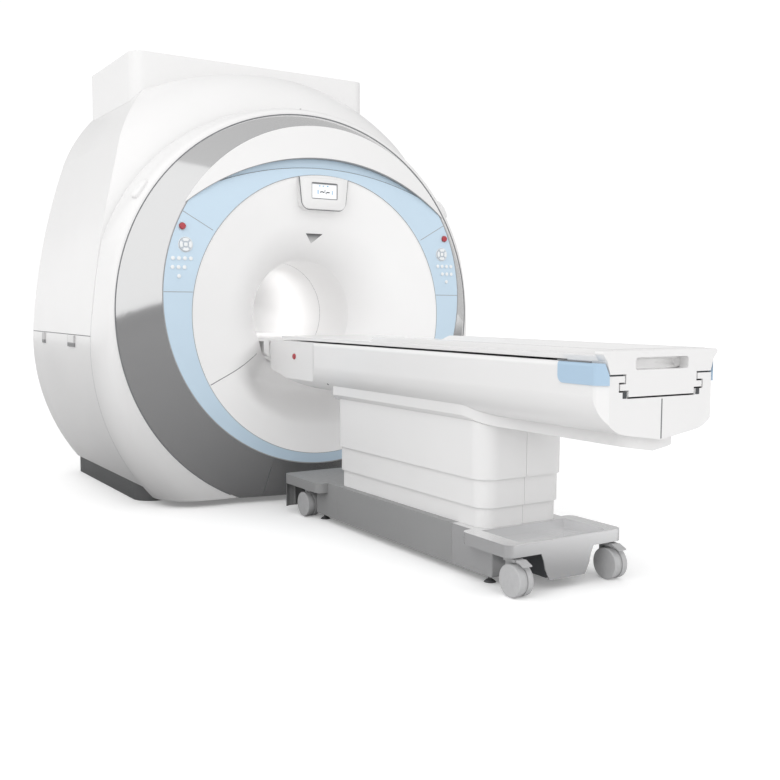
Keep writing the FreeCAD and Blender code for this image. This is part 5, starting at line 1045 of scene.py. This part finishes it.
class SCANNER_OT_tail_trim(bpy.types.Operator):
    """Rubber in the joint between the covers' rear faces, dark blocks of painted shadow in the channel's
    lower corners, and the dark strips in the gap under the tabletop above the bumpers."""
    bl_idname = "scanner.tail_trim"
    bl_label = "Tail trim"

    def execute(self, context):
        starts = at(0.0012, BEHIND_Y, np.linspace(*TAIL_JOINT_Z, 24))
        covers = ("table_cover_left", "table_cover_right")
        trim(laid_strip("tail_joint", covers, starts, INWARD, 0.0030, 0.0008), body="table_lift")
        for side, hand in SIDES:
            start = (hand * CORNER_SHADOW_X, BEHIND_Y, CORNER_SHADOW_Z)
            (spot,), _ = laid_path((f"table_cover_{side}",), [start], INWARD)
            centre = spot + np.array([0.0, -2 * LIFT, 0.003])
            # A dark block of painted shadow in the channel's corner.
            stop = front_pillow(f"channel_stop_{side}", CORNER_SHADOW_HALF, centre, 0.15, 9, 28)
            trim(stop, "frame_dark", "table_lift")
            path = at(hand * SHADOW_X, np.linspace(*SHADOW_Y, 30), TABLE_TOP_Z + SHADOW_RISE)
            strip = bead_piece(f"deck_shadow_{side}", path, hand * ACROSS, UP, round_section(0.0020, 0.0028, 10))
            trim(strip, body="table_lift")
        return {"FINISHED"}


class SCANNER_OT_slot_pocket(bpy.types.Operator):
    """The smooth pocket behind the hand slot: a soft oblong whose loops shrink as they go deeper, with
    a thin wall."""
    bl_idname = "scanner.slot_pocket"
    bl_label = "Hand slot pocket"

    def execute(self, context):
        t = np.linspace(0, 2 * np.pi, 64, endpoint=False)
        depth = np.linspace(0, np.pi / 2, 9)
        half_x, half_z = SLOT_HALF
        ring_x = half_x * np.sign(np.cos(t)) * np.abs(np.cos(t)) ** 0.22
        ring_z = half_z * np.sign(np.sin(t)) * np.abs(np.sin(t)) ** 0.45
        shrink = np.where(depth < 1.5, np.cos(depth) ** 0.35, 0.0)[:, None]
        x = ring_x[None, :] * (0.90 + 0.10 * shrink) * (shrink > 0)
        deeper = 0.20 + 0.80 * np.clip(x / half_x, 0.0, 1.0) ** 4
        y = SLOT_Y + SLOT_DEPTH * np.sin(depth)[:, None] * deeper
        inner = at(x, y, ring_z[None, :] * shrink + SLOT_Z)
        outer = inner[::-1] + SLOT_WALL * INWARD
        loops = np.concatenate([inner, outer]).transpose(1, 0, 2)
        pocket = grid_piece("slot_pocket", loops, wrap_u=True, wrap_v=True)
        # The pocket takes the brighter liner white, not the table's white: painted light, so that it reads lit.
        settle(pocket, "tabletop", "table_white", "liner_white")
        return {"FINISHED"}


class SCANNER_OT_caster_cores(bpy.types.Operator):
    """The housing's round core that fills the gap between each caster's two discs."""
    bl_idname = "scanner.caster_cores"
    bl_label = "Caster cores"

    def execute(self, context):
        profile = ring_profile(0.0066, 0.0604, 0.0128, 0.06)
        for side, hand in SIDES:
            for name, y, body in (("front_core", FRONT_WHEEL_Y, "table_base"),
                                  ("rear_core", REAR_WHEEL_Y, f"caster_{side}")):
                centre = (hand * CORE_X[0] + CORE_X[1], y, WHEEL_R)
                settle(turned_piece(f"{name}_{side}", profile, centre, ACROSS, 72), body, "caster_grey")
        return {"FINISHED"}


class SCANNER_OT_stage(bpy.types.Operator):
    """Pale floor, soft studio light and a bright surround."""
    bl_idname = "scanner.stage"
    bl_label = "Stage"

    def execute(self, context):
        look = context.scene.scanner_look
        context.scene.view_settings.view_transform = "Standard"
        reach = np.linspace(-1, 1, FLOOR_STEPS) * FLOOR_HALF
        floor = grid_piece("floor", at(*np.meshgrid(reach, reach, indexing="ij"), -5 * LIFT))
        floor.data.materials.append(self.floor_finish())
        self.surround(context, look)
        for name, place, target, size, setting in LAMPS:
            self.softbox(context, name, place, target, size, getattr(look, setting))
        return {"FINISHED"}

    def surround(self, context, look):
        """White behind the object, a tent that is brighter at the front left, and dark cards that only
        the glossy paint mirrors."""
        world = bpy.data.worlds.new("studio")
        context.scene.world = world
        world.use_nodes = True
        world.node_tree.nodes.clear()
        made = Wiring(world.node_tree)
        ray = made.node("LightPath").outputs
        direction = made.node("TexCoord").outputs["Generated"]
        seen = made.node("Background", {"Strength": SEEN_WHITE}).outputs["Background"]
        tent = made.ranged(made.dot(direction, TENT_WAY), look.tent_dark, look.tent_bright, (-1.0, 1.0))
        lit = made.node("Background", {"Color": (*grey(1.0), 1), "Strength": tent}).outputs["Background"]
        bands = made.ramp(made.dot(direction, CARD_WAY), *((p, grey(tone)) for p, tone in CARD_TONES))
        mirrored = made.node("Background", {"Color": bands}).outputs["Background"]
        unseen = made.choice(ray["Is Glossy Ray"], lit, mirrored)
        made.node("OutputWorld", {"Surface": made.choice(ray["Is Camera Ray"], unseen, seen)})

    def softbox(self, context, name, place, target, size, power):
        """A square area light of the given side that faces its target."""
        light = bpy.data.lights.new(name, "AREA")
        light.shape = "SQUARE"
        light.size = size
        light.energy = power
        lamp = bpy.data.objects.new(name, light)
        lamp.visible_camera = False
        lamp.visible_glossy = False
        context.scene.collection.objects.link(lamp)
        matrix = np.eye(4)
        matrix[:3, :3] = np.stack(axes_of(np.subtract(place, target)), axis=1)
        matrix[:3, 3] = place
        lamp.matrix_world = Matrix(matrix.tolist())

    def floor_finish(self):
        """Pale matt floor. The scanner itself sees it as grey, so its undersides stay in shade."""
        made = Finish("floor_white")
        made.set(Base_Color=made.mixed(made.noise(0.8), grey(0.93), grey(0.95)), Roughness=0.9,
                 Specular_IOR_Level=0.1, Emission_Color=(1, 1, 1, 1), Emission_Strength=0.19)
        ray = made.node("LightPath").outputs
        away = made.node("VectorMath", {0: made.coords, 1: SHADE_SPOT}, operation="DISTANCE").outputs["Value"]
        shade = made.mixed(made.ranged(away, 0.0, 1.0, SHADE_REACH), grey(0.22), grey(0.88), 0.0, 1.0)
        bounce = made.node("BsdfDiffuse", {"Color": shade}).outputs["BSDF"]
        reach = made.ranged(made.dot(made.coords, MIRROR_WAY), 0.0, 1.0, MIRROR_REACH)
        sweep = made.mixed(reach, (0.21, 0.21, 0.213), grey(0.95), 0.1, 0.9)
        mirror = made.node("BsdfDiffuse", {"Color": sweep}).outputs["BSDF"]
        unseen = made.choice(ray["Is Glossy Ray"], bounce, mirror)
        whole = made.choice(ray["Is Camera Ray"], unseen, made.shader.outputs["BSDF"])
        made.feed(made.tree.nodes["Material Output"].inputs["Surface"], whole)
        return made.material


STEPS = (
    SCANNER_OT_camera,
    SCANNER_OT_finishes,
    SCANNER_OT_panel_keys,
    SCANNER_OT_direction_keys,
    SCANNER_OT_display,
    SCANNER_OT_gaskets,
    SCANNER_OT_ring_lines,
    SCANNER_OT_funnel,
    SCANNER_OT_funnel_seams,
    SCANNER_OT_visor_shade_and_line,
    SCANNER_OT_bezel_handles,
    SCANNER_OT_table_details,
    SCANNER_OT_tail_trim,
    SCANNER_OT_slot_pocket,
    SCANNER_OT_caster_cores,
    SCANNER_OT_stage,
)


class SCANNER_PT_sidebar(bpy.types.Panel):
    """Lists the steps and the values that they read."""
    bl_idname = "SCANNER_PT_sidebar"
    bl_label = "Scanner"
    bl_space_type = "VIEW_3D"
    bl_region_type = "UI"
    bl_category = "Scanner"

    def draw(self, context):
        look = context.scene.scanner_look
        for name in ScannerLook.__annotations__:
            self.layout.prop(look, name)
        for step in STEPS:
            self.layout.operator(step.bl_idname)


CLASSES = (ScannerLook, *STEPS, SCANNER_PT_sidebar)


def register():
    for item in CLASSES:
        bpy.utils.register_class(item)
    bpy.types.Scene.scanner_look = bpy.props.PointerProperty(type=ScannerLook)


def unregister():
    del bpy.types.Scene.scanner_look
    for item in reversed(CLASSES):
        bpy.utils.unregister_class(item)


def main():
    register()
    for step in STEPS:
        group, action = step.bl_idname.split(".")
        getattr(getattr(bpy.ops, group), action)()


if __name__ == "__main__":
    main()
